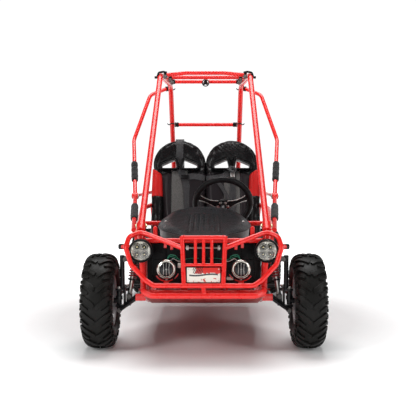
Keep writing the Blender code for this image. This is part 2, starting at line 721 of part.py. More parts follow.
def build_steering():
    place = column_frame()
    bpy.ops.mesh.primitive_torus_add(
        major_radius=STEERING_RIM_RADIUS, minor_radius=STEERING_RIM_TUBE, major_segments=24, minor_segments=8,
    )
    rim = bpy.context.object
    for collection in list(rim.users_collection):
        collection.objects.unlink(rim)
    HELPERS.objects.link(rim)
    hub = rod((0, 0, -0.034), (0, 0, -0.008), 0.036, 16)
    pieces = [rim, hub]
    for angle in (90, 197, 343):
        reach = Vector((math.cos(math.radians(angle)), math.sin(math.radians(angle)), 0))
        pieces.append(tube([reach * 0.02 - Z_AXIS * 0.022, reach * STEERING_RIM_RADIUS], 0.009))
    wheel = weld("steering_wheel", pieces, BLACK_PLASTIC, place=place)
    column = rod((0, 0, -SHAFT_LENGTH), (0, 0, -0.0345), 0.0105, 12)
    collar = rod((0, 0, -0.075), (0, 0, -0.0345), 0.018, 12)
    shaft = weld("steering_shaft", [column, collar], BLACK_METAL, place=place)
    pivot("pivot_steering", place.translation, wheel, shaft)
    rack = block((-0.150, 0.1108, 0.2425), (0.150, 0.1252, 0.2575))
    rack = weld("steering_rack", [rack], STEEL)
    pivot("pivot_rack", at(0, 0.118, 0.250), rack)


def build_pedal(name, x):
    """A floor-hung pedal whose sleeve turns on the frame's cross tube."""
    axis = at(x, -0.020, 0.226)
    ring = [(0.0160, 0.016), (0.0160, -0.016), (0.0109, -0.016), (0.0109, 0.016)]
    hub = turned("hub", ring, axis, (1, 0, 0), 12, helper=True)
    lean = Matrix.Translation(axis) @ Matrix.Rotation(math.radians(20), 4, "X")
    stem = rod((0, 0, 0.0135), (0, 0, 0.135), 0.006, 8)

    def build(shape):
        scale = Matrix.Diagonal((0.062, 0.008, 0.095, 1))
        bmesh.ops.create_cube(shape, size=1, matrix=Matrix.Translation((0, 0.006, 0.115)) @ scale)

    pad = add_object("pad", mesh_from("pad", build), helper=True)
    stem.matrix_world = lean
    pad.matrix_world = lean
    pedal = weld(name, [stem, pad, hub], CAST)
    pivot("pivot_" + name, axis, pedal)


# Seats

def seat_outline():
    """The seat back seen square on: a waisted panel with a half-round head and two harness holes."""
    half = SEAT_HALF_WIDTH
    head = SEAT_BACK_HEIGHT - half
    outline = [(half * math.cos(a), head + half * math.sin(a)) for a in (math.pi * i / 12 for i in range(13))]
    lower = [(-half, 0.300), (-0.120, 0.200), (-0.128, 0.0), (0.128, 0.0), (0.120, 0.200), (half, 0.300)]
    holes = []
    for side in (-1, 1):
        hole = [(0.018, 0.452), (0.096, 0.455), (0.026, 0.498)]
        holes.append([(side * x, z) for x, z in hole])
    return outline + lower, holes


def build_seat(label, side):
    outline, holes = seat_outline()
    curve = bpy.data.curves.new("seat_back", "CURVE")
    curve.dimensions = "2D"
    curve.fill_mode = "BOTH"
    curve.extrude = SEAT_BACK_THICKNESS / 2
    for points in (outline, *holes):
        spline = curve.splines.new("POLY")
        spline.points.add(len(points) - 1)
        spline.use_cyclic_u = True
        for point, (x, z) in zip(spline.points, points):
            point.co = (x, z, 0, 1)
    station, z = SEAT_BACK_FOOT
    stand = Matrix.Rotation(math.pi / 2 - SEAT_BACK_LEAN, 4, "X")
    middle = at(side * SEAT_X, station + SEAT_BACK_THICKNESS / 2, z)
    back = mesh_of_curve(curve, Matrix.Translation(middle) @ stand)
    x = side * SEAT_X
    pieces = [block((x - 0.135, 0.550, 0.2400), (x + 0.135, 0.925, 0.3300)), back]
    for end in (-1, 1):
        low, high = sorted((x + end * 0.100, x + end * 0.1405))
        pieces.append(block((low, 0.570, 0.280), (high, 0.935, 0.385)))
    return weld("seat_" + label, pieces, VINYL)


# Drive line

def ring_between(name, x_low, x_high, outer, bore, place, surface, hub=None, steps=24):
    """A disc across the kart between two x values, with an optional hub of (radius, low, high)."""
    middle = (x_low + x_high) / 2
    half = (x_high - x_low) / 2
    profile = [(outer, half), (outer, -half)]
    if hub:
        radius, low, high = hub
        profile += [(radius, -half), (radius, low - middle), (bore, low - middle)]
        profile += [(bore, high - middle), (radius, high - middle), (radius, half)]
    else:
        profile += [(bore, -half), (bore, half)]
    disc = turned(name, profile, at(middle, *place), (1, 0, 0), steps)
    return finish(disc, surface)


def chain_outline(offset):
    """The chain's loop about both sprockets, as (station, height), offset out from the teeth."""
    small = Vector(CRANK)
    large = Vector((WHEELBASE, AXLE_Z))
    small_radius = CLUTCH_RADIUS + offset
    large_radius = SPROCKET_RADIUS + offset
    span = large - small
    heading = math.atan2(span.y, span.x)
    wrap = math.acos((small_radius - large_radius) / span.length)
    points = []
    for i in range(13):
        angle = heading + wrap + (math.tau - 2 * wrap) * i / 12
        points.append(small + small_radius * Vector((math.cos(angle), math.sin(angle))))
    for i in range(19):
        angle = heading - wrap + 2 * wrap * i / 18
        points.append(large + large_radius * Vector((math.cos(angle), math.sin(angle))))
    return points


def build_chain():
    curve = bpy.data.curves.new("chain", "CURVE")
    curve.dimensions = "2D"
    curve.fill_mode = "BOTH"
    curve.extrude = 0.004
    for offset in (0.0006 + CHAIN_THICKNESS, 0.0006):
        points = chain_outline(offset)
        spline = curve.splines.new("POLY")
        spline.points.add(len(points) - 1)
        spline.use_cyclic_u = True
        for point, place in zip(spline.points, points):
            point.co = (place.x, place.y, 0, 1)
    upright = Matrix(((0, 0, 1), (1, 0, 0), (0, 1, 0))).to_4x4()
    chain = mesh_of_curve(curve, Matrix.Translation((CHAIN_X, FRONT_AXLE_Y, 0)) @ upright)
    return weld("drive_chain", [chain], STEEL)


def build_engine():
    crank = (CRANK[0], CRANK[1])
    pieces = [block((-0.090, 1.135, 0.2865), (0.085, 1.285, 0.420))]
    pieces.append(block((-0.055, 1.150, 0.400), (0.055, 1.265, 0.500)))
    pieces.append(rod(at(0.080, 1.205, 0.372), at(0.145, 1.205, 0.372), 0.083, 20))
    pieces.append(rod(at(0.140, 1.205, 0.372), at(0.155, 1.205, 0.372), 0.050, 16))
    pieces.append(rod(at(-0.158, *crank), at(-0.080, *crank), 0.0090, 12))
    pieces.append(rod(at(-0.092, *crank), at(-0.080, *crank), 0.034, 12))
    pieces.append(block((-0.080, 1.098, 0.410), (0.000, 1.155, 0.480)))
    weld("engine_block", pieces, CAST)
    tank = block((-0.095, 1.105, 0.5100), (0.100, 1.285, 0.6000))
    edge = tank.modifiers.new("edge", "BEVEL")
    edge.width = 0.018
    edge.segments = 2
    weld("fuel_tank", [tank], BLACK_METAL)
    can = rod(at(-0.010, 1.345, 0.440), at(0.150, 1.345, 0.440), 0.042, 16)
    pipe = bend([at(0.020, 1.2655, 0.470), at(0.020, 1.310, 0.470), at(0.060, 1.345, 0.450)], 0.03)
    weld("muffler", [can, tube(pipe, 0.011)], BLACK_METAL)


def build_drive():
    place = (WHEELBASE, AXLE_Z)
    axle = rod(at(-0.462, *place), at(0.462, *place), REAR_AXLE_RADIUS, 12)
    nuts = [rod(at(side * 0.4495, *place), at(side * 0.459, *place), 0.019, 6) for _, side in SIDES]
    axle = weld("rear_axle", [axle, *nuts], STEEL)
    sprocket = ring_between(
        "axle_sprocket", CHAIN_X - 0.003, CHAIN_X + 0.003, SPROCKET_RADIUS, 0.0132, place, STEEL,
        (0.026, CHAIN_X - 0.014, CHAIN_X + 0.014), 24,
    )
    disc = ring_between(
        "brake_disc", DISC_X - 0.002, DISC_X + 0.002, DISC_RADIUS, 0.0132, place, STEEL,
        (0.024, DISC_X - 0.014, DISC_X + 0.014), 24,
    )
    pivot("pivot_rear_axle", at(0, *place), axle, sprocket, disc)
    for label, side in SIDES:
        for piece in build_wheel("rear", label, side):
            piece.parent = bpy.data.objects["pivot_rear_axle"]
            piece.matrix_parent_inverse = piece.parent.matrix_world.inverted()
    clutch = ring_between(
        "clutch_sprocket", CHAIN_X - 0.003, CHAIN_X + 0.003, CLUTCH_RADIUS, 0.0095, CRANK, STEEL,
        (0.0245, CHAIN_X - 0.018, CHAIN_X + 0.026), 16,
    )
    pivot("pivot_clutch", at(0, *CRANK), clutch)
    body = block((DISC_X - 0.018, 1.447, 0.190), (DISC_X + 0.018, 1.500, 0.243))
    foot = block((DISC_X - 0.014, 1.455, 0.236), (0.200, 1.485, 0.2550))
    slot = block((DISC_X - 0.0035, 1.430, 0.170), (DISC_X + 0.0035, 1.482, 0.2620))
    weld("brake_caliper", [body, foot], BLACK_METAL, [slot])


def build():
    build_main_frame()
    build_floor_pan()
    build_nose_guard()
    build_badge_plate()
    build_hood()
    build_roof()
    for label, side in SIDES:
        build_cage(label, side)
        build_side_bar(label, side)
        build_lamps(label, side)
        suspension(label, side)
        build_seat(label, side)
    build_steering()
    build_pedal("throttle_pedal", 0.085)
    build_pedal("brake_pedal", 0.195)
    build_engine()
    build_drive()
    build_chain()


build()
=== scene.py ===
"""Looks of the two-seat youth buggy kart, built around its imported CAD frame.

Metres, +Z up, the nose to -Y and the driver on the +X side. As in the CAD, a place is written
(x, station, z), where the station is how far it is behind the front axle. Every piece's mesh is in world
space and rides on a body.
"""

import math

import bmesh
import bpy
from mathutils import Matrix, Vector, noise
from mathutils.bvhtree import BVHTree
from mathutils.kdtree import KDTree


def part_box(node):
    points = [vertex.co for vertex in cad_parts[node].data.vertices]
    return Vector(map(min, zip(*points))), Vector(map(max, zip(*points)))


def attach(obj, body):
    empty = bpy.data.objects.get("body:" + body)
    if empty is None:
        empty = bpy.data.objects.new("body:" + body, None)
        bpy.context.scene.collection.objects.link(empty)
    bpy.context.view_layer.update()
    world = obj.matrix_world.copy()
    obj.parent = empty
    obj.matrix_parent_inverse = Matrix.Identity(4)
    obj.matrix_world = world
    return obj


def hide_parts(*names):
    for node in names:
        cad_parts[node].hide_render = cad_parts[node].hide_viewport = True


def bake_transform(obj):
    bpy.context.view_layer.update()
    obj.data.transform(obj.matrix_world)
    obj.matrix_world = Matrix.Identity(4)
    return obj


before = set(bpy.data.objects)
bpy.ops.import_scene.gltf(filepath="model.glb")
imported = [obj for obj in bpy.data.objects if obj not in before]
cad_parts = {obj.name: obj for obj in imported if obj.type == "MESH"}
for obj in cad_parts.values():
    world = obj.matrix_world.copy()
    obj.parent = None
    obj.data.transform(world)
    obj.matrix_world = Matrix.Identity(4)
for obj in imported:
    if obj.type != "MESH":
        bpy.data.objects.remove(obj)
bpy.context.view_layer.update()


def middle(node):
    low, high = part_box(node)
    return (low + high) / 2


FRONT_AXLE_Y = middle("tyre_front_left").y
AXLE_Z = middle("tyre_front_left").z
WHEELBASE = middle("tyre_rear_left").y - FRONT_AXLE_Y
TYRE_RADIUS = AXLE_Z
KINGPIN_X = 0.366
SIDES = (("left", 1), ("right", -1))
X_AXIS = Vector((1, 0, 0))
Y_AXIS = Vector((0, 1, 0))
Z_AXIS = Vector((0, 0, 1))

# The driver's station
WHEEL_CENTRE = (0.090, 0.600, 0.596)
COLUMN_ANGLE = math.radians(30)
SEAT_X = 0.147
SEAT_LEAN = math.radians(14.5)
SEAT_FOOT = (0.900, 0.330)
SEAT_THICK = 0.064


def at(x, station, z):
    return Vector((x, station + FRONT_AXLE_Y, z))


def on_side(side):
    """The same as at(), with x measured towards one side."""
    return lambda x, station, z: at(side * x, station, z)


def turns(count, offset=0.0):
    """Angles at even steps of a full turn."""
    return [math.tau * (step + offset) / count for step in range(count)]


def spoke(angle):
    """The direction of an angle about a wheel's axis."""
    return Vector((0, math.cos(angle), math.sin(angle)))


# Camera, light and floor

CAMERA_X = 0.027
CAMERA_DISTANCE = 3.15
CAMERA_Z = 0.757
CAMERA_LENS = 63.8
CAMERA_DIP = math.radians(2.84)
CAMERA_YAW = 0.0034
ROOM_DIM = 0.20
ROOM_BRIGHT = 1.05
GLOW_FROM = 0.75
GLOW_TO = 1.9


def build_camera():
    data = bpy.data.cameras.new("camera")
    data.sensor_width = 36
    data.lens = CAMERA_LENS
    camera = bpy.data.objects.new("camera", data)
    camera.location = at(CAMERA_X, -CAMERA_DISTANCE, CAMERA_Z)
    camera.rotation_euler = (math.pi / 2 - CAMERA_DIP, 0, CAMERA_YAW)
    bpy.context.scene.collection.objects.link(camera)
    bpy.context.scene.camera = camera


def softbox(name, place, aim, size, power):
    data = bpy.data.lights.new(name, "AREA")
    data.shape = "RECTANGLE"
    data.size, data.size_y = size
    data.energy = power
    light = bpy.data.objects.new(name, data)
    light.location = place
    light.rotation_euler = (Vector(aim) - Vector(place)).to_track_quat("-Z", "Y").to_euler()
    bpy.context.scene.collection.objects.link(light)


def build_studio():
    """A dim room with a low white band behind the kart, softboxes, and a floor that glows further out."""
    world = bpy.data.worlds.new("studio")
    world.use_nodes = True
    tree = world.node_tree
    room = tree.nodes["Background"]
    place = tree.nodes.new("ShaderNodeTexCoord")
    parts = tree.nodes.new("ShaderNodeSeparateXYZ")
    tree.links.new(place.outputs["Generated"], parts.inputs[0])

    def fade(value, start, end, low, high):
        step = tree.nodes.new("ShaderNodeMapRange")
        step.interpolation_type = "SMOOTHSTEP"
        tree.links.new(value, step.inputs["Value"])
        for socket, number in (("From Min", start), ("From Max", end)):
            step.inputs[socket].default_value = number
        for socket, number in (("To Min", low), ("To Max", high)):
            if isinstance(number, bpy.types.NodeSocket):
                tree.links.new(number, step.inputs[socket])
            else:
                step.inputs[socket].default_value = number
        return step.outputs[0]

    behind = fade(parts.outputs[1], 0.72, 0.94, ROOM_DIM, ROOM_BRIGHT)
    tree.links.new(fade(parts.outputs[2], 0.25, 0.38, behind, ROOM_DIM), room.inputs["Strength"])
    room.inputs["Color"].default_value = (1, 1, 1, 1)
    bpy.context.scene.world = world
    bpy.context.scene.view_settings.view_transform = "Standard"
    softbox("key", (-2.3, -2.9, 1.9), (0, -0.2, 0.55), (0.9, 1.5), 42)
    softbox("fill", (2.6, -2.7, 1.7), (0, -0.2, 0.55), (0.8, 1.4), 26)
    softbox("top", (0, 0.3, 3.8), (0, 0.1, 0), (2.6, 2.6), 120)
    floor = Shape()
    floor.use(STUDIO_FLOOR)
    floor.box((-60, -60, -0.02), (60, 60, -0.0005), 0.0)
    floor.make("floor")


# Finishes: each is a Principled shader fed by noises in the piece's own space

class Finish:
    def __init__(self, name, colour, roughness, metallic=0.0, **more):
        self.material = bpy.data.materials.new(name)
        self.material.use_nodes = True
        self.tree = self.material.node_tree
        self.shader = self.tree.nodes["Principled BSDF"]
        self.colour = (*colour, 1)
        self.put("Base Color", self.colour)
        self.put("Roughness", roughness)
        self.put("Metallic", metallic)
        for socket, value in more.items():
            self.put(socket.replace("_", " "), value)
        self.place = self.node("TexCoord").outputs["Object"]
        self.normal = None
        self.material.diffuse_color = self.colour

    def put(self, socket, value, node=None):
        """Sets a socket to a value, or joins it to another socket."""
        entry = (node or self.shader).inputs[socket]
        if isinstance(value, bpy.types.NodeSocket):
            self.tree.links.new(value, entry)
        else:
            entry.default_value = value

    def node(self, kind, inputs=None, **settings):
        node = self.tree.nodes.new("ShaderNode" + kind)
        for key, value in settings.items():
            setattr(node, key, value)
        for socket, value in (inputs or {}).items():
            self.put(socket, value, node)
        return node

    def stretched(self, scale):
        """The place, scaled along each axis, for streaks and weaves."""
        return self.node("Mapping", {"Vector": self.place, "Scale": scale}).outputs[0]

    def noise(self, scale, detail=3.0, place=None, roughness=0.5):
        inputs = {"Vector": place or self.place, "Scale": scale, "Detail": detail, "Roughness": roughness}
        return self.node("TexNoise", inputs).outputs[0]

    def cells(self, scale, feature="F1"):
        inputs = {"Vector": self.place, "Scale": scale}
        return self.node("TexVoronoi", inputs, feature=feature).outputs["Distance"]

    def span(self, value, low, high, start=0.0, end=1.0):
        """Maps start..end onto low..high, clamped."""
        inputs = {"Value": value, "From Min": start, "From Max": end, "To Min": low, "To Max": high}
        return self.node("MapRange", inputs).outputs[0]

    def calc(self, operation, first, second=0.0):
        return self.node("Math", {0: first, 1: second}, operation=operation).outputs[0]

    def mix(self, share, first, second):
        inputs = {0: share, 6: first, 7: second}
        return self.node("Mix", inputs, data_type="RGBA").outputs[2]

    def part(self, axis):
        return self.node("SeparateXYZ", {0: self.place}).outputs[axis]

    def bump(self, height, distance, strength=1.0):
        inputs = {"Height": height, "Distance": distance, "Strength": strength}
        if self.normal is not None:
            inputs["Normal"] = self.normal
        self.normal = self.node("Bump", inputs).outputs[0]
        self.put("Normal", self.normal)

    def vary(self, other, share):
        """Colour that drifts towards another one in soft patches."""
        patches = self.span(self.noise(7.0, 4.0), 0.0, share, 0.35, 0.7)
        self.put("Base Color", self.mix(patches, self.colour, (*other, 1)))

    def gloss(self, low, high, scale):
        self.put("Roughness", self.span(self.noise(scale, 4.0), low, high, 0.3, 0.7))


def powder_coat(name, colour, shade, low, high, coat):
    """Baked powder coat: orange peel, gloss that drifts, and a thin clear skin."""
    finish = Finish(name, colour, low, Coat_Weight=coat, Coat_Roughness=0.10, Specular_IOR_Level=0.35)
    finish.vary(shade, 0.55)
    finish.gloss(low, high, 35.0)
    finish.bump(finish.noise(520.0, 2.0), 0.00025, 0.35)
    finish.bump(finish.noise(90.0, 2.0), 0.0006, 0.12)
    return finish.material


def moulded(name, colour, shade, low, high, grain, depth):
    """Injection-moulded plastic with a fine pebble grain."""
    finish = Finish(name, colour, low, Specular_IOR_Level=0.13)
    finish.vary(shade, 0.7)
    finish.gloss(low, high, 22.0)
    finish.bump(finish.cells(grain), depth, 0.55)
    finish.bump(finish.noise(14.0, 3.0), 0.004, 0.10)
    return finish.material


def bare_metal(name, colour, shade, low, high):
    """Plated or machined metal with fine brushed streaks and dull patches."""
    finish = Finish(name, colour, low, 1.0)
    finish.vary(shade, 0.8)
    streaks = finish.noise(260.0, 5.0)
    finish.put("Roughness", finish.span(streaks, low, high, 0.25, 0.75))
    finish.bump(streaks, 0.0003, 0.25)
    return finish.material


def cast_metal(name, colour, shade):
    finish = Finish(name, colour, 0.5, 1.0)
    finish.vary(shade, 0.8)
    finish.gloss(0.40, 0.62, 40.0)
    finish.bump(finish.noise(420.0, 4.0), 0.0006, 0.55)
    finish.bump(finish.cells(160.0), 0.0004, 0.25)
    return finish.material


def rubber(name, colour, shade, low, high):
    """Tyre rubber: mould haze, fine pores and patches of dust."""
    finish = Finish(name, colour, low, Specular_IOR_Level=0.20)
    finish.vary(shade, 0.8)
    finish.gloss(low, high, 30.0)
    finish.bump(finish.noise(650.0, 3.0), 0.0004, 0.5)
    finish.bump(finish.noise(60.0, 4.0), 0.0010, 0.22)
    return finish.material


def foam(name, colour, shade):
    finish = Finish(name, colour, 0.9, Specular_IOR_Level=0.25, Sheen_Weight=0.15)
    finish.vary(shade, 0.8)
    finish.gloss(0.78, 0.95, 80.0)
    finish.bump(finish.cells(420.0), 0.0011, 0.8)
    return finish.material


def vinyl(name, colour, shade, low=0.22, high=0.38, folds=0.0):
    """Coated upholstery cloth: leather-like grain, soft shine and pulled creases."""
    finish = Finish(name, colour, low, Coat_Weight=0.06, Coat_Roughness=0.20, Specular_IOR_Level=0.20)
    finish.vary(shade, 0.6)
    finish.gloss(low, high, 18.0)
    finish.bump(finish.cells(620.0, feature="SMOOTH_F1"), 0.0005, 0.5)
    if folds:
        creases = finish.noise(16.0, 2.5, finish.stretched((1.0, 0.6, 1.9)), 0.4)
        finish.bump(creases, 0.010, folds)
    return finish.material


def mesh_cloth(name, colour, shade):
    """Knitted spacer cloth on the seat's middle panels: rows of small open cells."""
    finish = Finish(name, colour, 0.7, Sheen_Weight=0.3, Sheen_Roughness=0.5)
    cells = finish.cells(330.0)
    tint = finish.span(cells, 0.0, 1.0, 0.15, 0.6)
    finish.put("Base Color", finish.mix(tint, finish.colour, (*shade, 1)))
    finish.gloss(0.50, 0.72, 50.0)
    finish.bump(cells, 0.0012, 0.7)
    return finish.material


def webbing(name, colour, shade):
    """Woven belt: ribs across the strap from two crossing waves, with painted shade between the ribs and a
    painted highlight on them.
    """
    finish = Finish(name, colour, 0.6, Sheen_Weight=0.25)
    ribs = finish.node(
        "TexWave", {"Vector": finish.place, "Scale": 260.0}, bands_direction="DIAGONAL"
    ).outputs[1]
    cross = finish.node("TexWave", {"Vector": finish.place, "Scale": 120.0}, bands_direction="X").outputs[1]
    weave = finish.calc("MULTIPLY", ribs, cross)
    # The colour follows the weave's relief: painted shade in the hollows between the ribs and a painted
    # highlight on the ribs.
    finish.put("Base Color", finish.mix(finish.span(weave, 0.0, 0.8), finish.colour, (*shade, 1)))
    finish.gloss(0.45, 0.70, 90.0)
    finish.bump(weave, 0.0008, 0.7)
    return finish.material


def clear_lens(name, tint, roughness):
    finish = Finish(name, tint, roughness, Transmission_Weight=1.0, IOR=1.46)
    finish.gloss(roughness, roughness + 0.05, 120.0)
    finish.bump(finish.noise(30.0, 1.0), 0.0006, 0.10)
    return finish.material


def dark_glass(name, colour):
    finish = Finish(name, colour, 0.10, Coat_Weight=0.15, Coat_Roughness=0.05, Specular_IOR_Level=0.20)
    finish.gloss(0.04, 0.12, 30.0)
    finish.bump(finish.noise(40.0, 1.0), 0.0004, 0.08)
    return finish.material


def plate_print(name):
    """A printed plate with no lettering: pale, with a red field, dark hatching and a dark sweep."""
    finish = Finish(name, (0.74, 0.70, 0.62), 0.35, Coat_Weight=0.4, Coat_Roughness=0.12)
    x, z = finish.part(0), finish.part(2)

    def both(first, second):
        return finish.calc("MULTIPLY", first, second)

    blotch = finish.calc("MULTIPLY", finish.calc("SUBTRACT", finish.noise(70.0, 3.0), 0.5), 0.030)
    high = finish.calc("GREATER_THAN", finish.calc("ADD", z, blotch), 0.3600)
    right = finish.calc("GREATER_THAN", finish.calc("ADD", x, blotch), -0.030)
    red = finish.mix(both(high, right), finish.colour, (0.62, 0.02, 0.015, 1))
    low_red = both(
        finish.calc("GREATER_THAN", finish.noise(90.0, 4.0), 0.55), finish.calc("LESS_THAN", z, 0.342)
    )
    red = finish.mix(both(low_red, finish.calc("GREATER_THAN", x, -0.040)), red, (0.50, 0.05, 0.03, 1))
    slant = finish.calc("ADD", finish.calc("MULTIPLY", x, 150.0), finish.calc("MULTIPLY", z, -75.0))
    hatch = finish.calc("GREATER_THAN", finish.calc("FRACT", slant), 0.5)
    patch = both(finish.calc("LESS_THAN", finish.calc("ABSOLUTE", finish.calc("ADD", x, 0.022)), 0.020), high)
    dark = finish.mix(both(hatch, patch), red, (0.05, 0.03, 0.03, 1))
    wave = finish.calc("SINE", finish.calc("MULTIPLY", x, 48.0))
    edge = finish.calc("ADD", finish.calc("MULTIPLY", wave, 0.003), 0.3545)
    gap = finish.calc("ABSOLUTE", finish.calc("SUBTRACT", z, edge))
    sweep = both(
        finish.calc("LESS_THAN", gap, 0.0032), finish.calc("LESS_THAN", finish.calc("ABSOLUTE", x), 0.056)
    )
    finish.put("Base Color", finish.mix(sweep, dark, (0.03, 0.03, 0.035, 1)))
    finish.gloss(0.25, 0.42, 40.0)
    finish.bump(finish.noise(300.0, 2.0), 0.0002, 0.3)
    return finish.material


def studio_floor():
    """White vinyl floor that is lit from below outside the space that the kart stands on."""
    finish = Finish("studio_floor", (0.86, 0.86, 0.86), 0.9, Specular_IOR_Level=0.1)
    finish.vary((0.84, 0.84, 0.845), 0.5)
    reach = finish.node("VectorMath", {0: finish.place}, operation="LENGTH").outputs[1]
    finish.put("Emission Color", (1, 1, 1, 1))
    finish.put("Emission Strength", finish.span(reach, 0.0, 1.0, GLOW_FROM, GLOW_TO))
    return finish.material


RED = powder_coat("red_powder_coat", (0.80, 0.013, 0.010), (0.70, 0.009, 0.008), 0.24, 0.34, 0.45)
DARK_RED = powder_coat("dark_red_coat", (0.36, 0.012, 0.010), (0.26, 0.010, 0.008), 0.45, 0.60, 0.05)
BLACK_COAT = powder_coat(
    "black_powder_coat", (0.0075, 0.0075, 0.0085), (0.0130, 0.0130, 0.0140), 0.28, 0.44, 0.12
)
STEEL = bare_metal("bright_steel", (0.58, 0.57, 0.55), (0.44, 0.42, 0.38), 0.24, 0.42)
ZINC = bare_metal("yellow_zinc", (0.66, 0.56, 0.36), (0.50, 0.44, 0.34), 0.26, 0.44)
RING_CHROME = bare_metal("ring_chrome", (0.64, 0.62, 0.58), (0.50, 0.46, 0.40), 0.08, 0.18)
BLUE_CHROME = bare_metal("blue_chrome", (0.34, 0.47, 0.66), (0.50, 0.58, 0.68), 0.08, 0.16)
REFLECTOR = bare_metal("lamp_reflector", (0.86, 0.84, 0.78), (0.72, 0.68, 0.58), 0.38, 0.52)
CHROME = bare_metal("chrome", (0.86, 0.87, 0.88), (0.80, 0.80, 0.82), 0.05, 0.12)
CAST = cast_metal("cast_aluminium", (0.47, 0.47, 0.48), (0.33, 0.33, 0.34))
IRON = cast_metal("grey_iron", (0.20, 0.195, 0.19), (0.12, 0.11, 0.10))
HOOD_PLASTIC = moulded(
    "hood_plastic", (0.0050, 0.0066, 0.0080), (0.0080, 0.0100, 0.0120), 0.27, 0.38, 900.0, 0.0004
)
BLACK_PLASTIC = moulded(
    "black_plastic", (0.0055, 0.0055, 0.0060), (0.0095, 0.0095, 0.0100), 0.24, 0.38, 1100.0, 0.0003
)
TYRE = rubber("tyre_rubber", (0.0045, 0.0043, 0.0038), (0.0100, 0.0093, 0.0080), 0.38, 0.58)
GRIP_RUBBER = rubber("grip_rubber", (0.0050, 0.0050, 0.0050), (0.0090, 0.0090, 0.0090), 0.30, 0.46)
FOAM = foam("grip_foam", (0.0070, 0.0070, 0.0075), (0.0120, 0.0120, 0.0125))
VINYL = vinyl("black_vinyl", (0.0040, 0.0040, 0.0045), (0.0075, 0.0075, 0.0082), 0.20, 0.34, 0.32)
SIDE_VINYL = vinyl("side_vinyl", (0.0125, 0.0095, 0.0115), (0.0200, 0.0150, 0.0175), 0.34, 0.50, 0.15)
RED_VINYL = vinyl("red_vinyl", (0.60, 0.016, 0.014), (0.48, 0.012, 0.012), 0.30, 0.44, 0.12)
GREY_CLOTH = mesh_cloth("grey_mesh_cloth", (0.135, 0.134, 0.126), (0.060, 0.060, 0.057))
BELT = webbing("belt_webbing", (0.012, 0.012, 0.014), (0.030, 0.030, 0.034))
SPRING_COAT = powder_coat("spring_coat", (0.30, 0.010, 0.014), (0.22, 0.008, 0.010), 0.22, 0.36, 0.4)
LENS = clear_lens("lamp_lens", (0.98, 0.98, 0.97), 0.02)
AMBER_TINT = bare_metal("lamp_warm_reflector", (0.80, 0.70, 0.42), (0.70, 0.62, 0.40), 0.08, 0.16)
DARK_GLASS = dark_glass("fog_glass", (0.010, 0.010, 0.012))
PLATE = plate_print("badge_print")
GREEN_WIRE = moulded("green_wire", (0.02, 0.16, 0.09), (0.03, 0.20, 0.12), 0.32, 0.45, 1500.0, 0.0001)
PALE_PLASTIC = moulded("pale_connector", (0.62, 0.60, 0.54), (0.52, 0.50, 0.44), 0.35, 0.5, 1200.0, 0.0002)
STUDIO_FLOOR = studio_floor()


# Forms

def bend(points, radius, steps=8):
    """Rounds the corners of a path, keeping its ends."""
    points = [Vector(point) for point in points]
    path = [points[0]]
    for before, corner, after in zip(points, points[1:], points[2:]):
        into = corner - before
        out = after - corner
        cut = min(radius * math.tan(into.angle(out) / 2), 0.45 * into.length, 0.45 * out.length)
        start = corner - into.normalized() * cut
        end = corner + out.normalized() * cut
        for step in range(steps + 1):
            t = step / steps
            path.append(start * (1 - t) ** 2 + corner * 2 * t * (1 - t) + end * t * t)
    path.append(points[-1])
    return path


def between(a, b, c, d, t):
    """A share t of the way from b to c, on the curve that also passes a and d."""
    twice = b * 2 + (c - a) * t
    twice = twice + (a * 2 - b * 5 + c * 4 - d) * t * t
    return (twice + (b * 3 - a - c * 3 + d) * t ** 3) / 2


def smooth(points, steps=8):
    """A curve through every point, for wires, belts and seams."""
    points = [Vector(point) for point in points]
    padded = [points[0] * 2 - points[1], *points, points[-1] * 2 - points[-2]]
    path = []
    for a, b, c, d in zip(padded, padded[1:], padded[2:], padded[3:]):
        path += [between(a, b, c, d, step / steps) for step in range(steps)]
    path.append(points[-1])
    return path


def line(points, side=1):
    return [at(side * x, station, z) for x, station, z in points]


def across(half):
    """A path across the kart from its left half."""
    return line(half) + line(reversed(half), -1)


def square_to(axis):
    """Two directions square to an axis and to each other."""
    axis = Vector(axis).normalized()
    guide = X_AXIS if abs(axis.z) > 0.9 else Z_AXIS
    first = (guide - axis * guide.dot(axis)).normalized()
    return first, axis.cross(first)


def nearest(path, point):
    """How far a path is from a point, the path's point there, and its heading."""
    found = []
    for start, end in zip(path, path[1:]):
        along = end - start
        t = min(max((point - start).dot(along) / along.length_squared, 0), 1)
        place = start + along * t
        found.append(((point - place).length, place, along.normalized()))
    return min(found, key=lambda entry: entry[0])


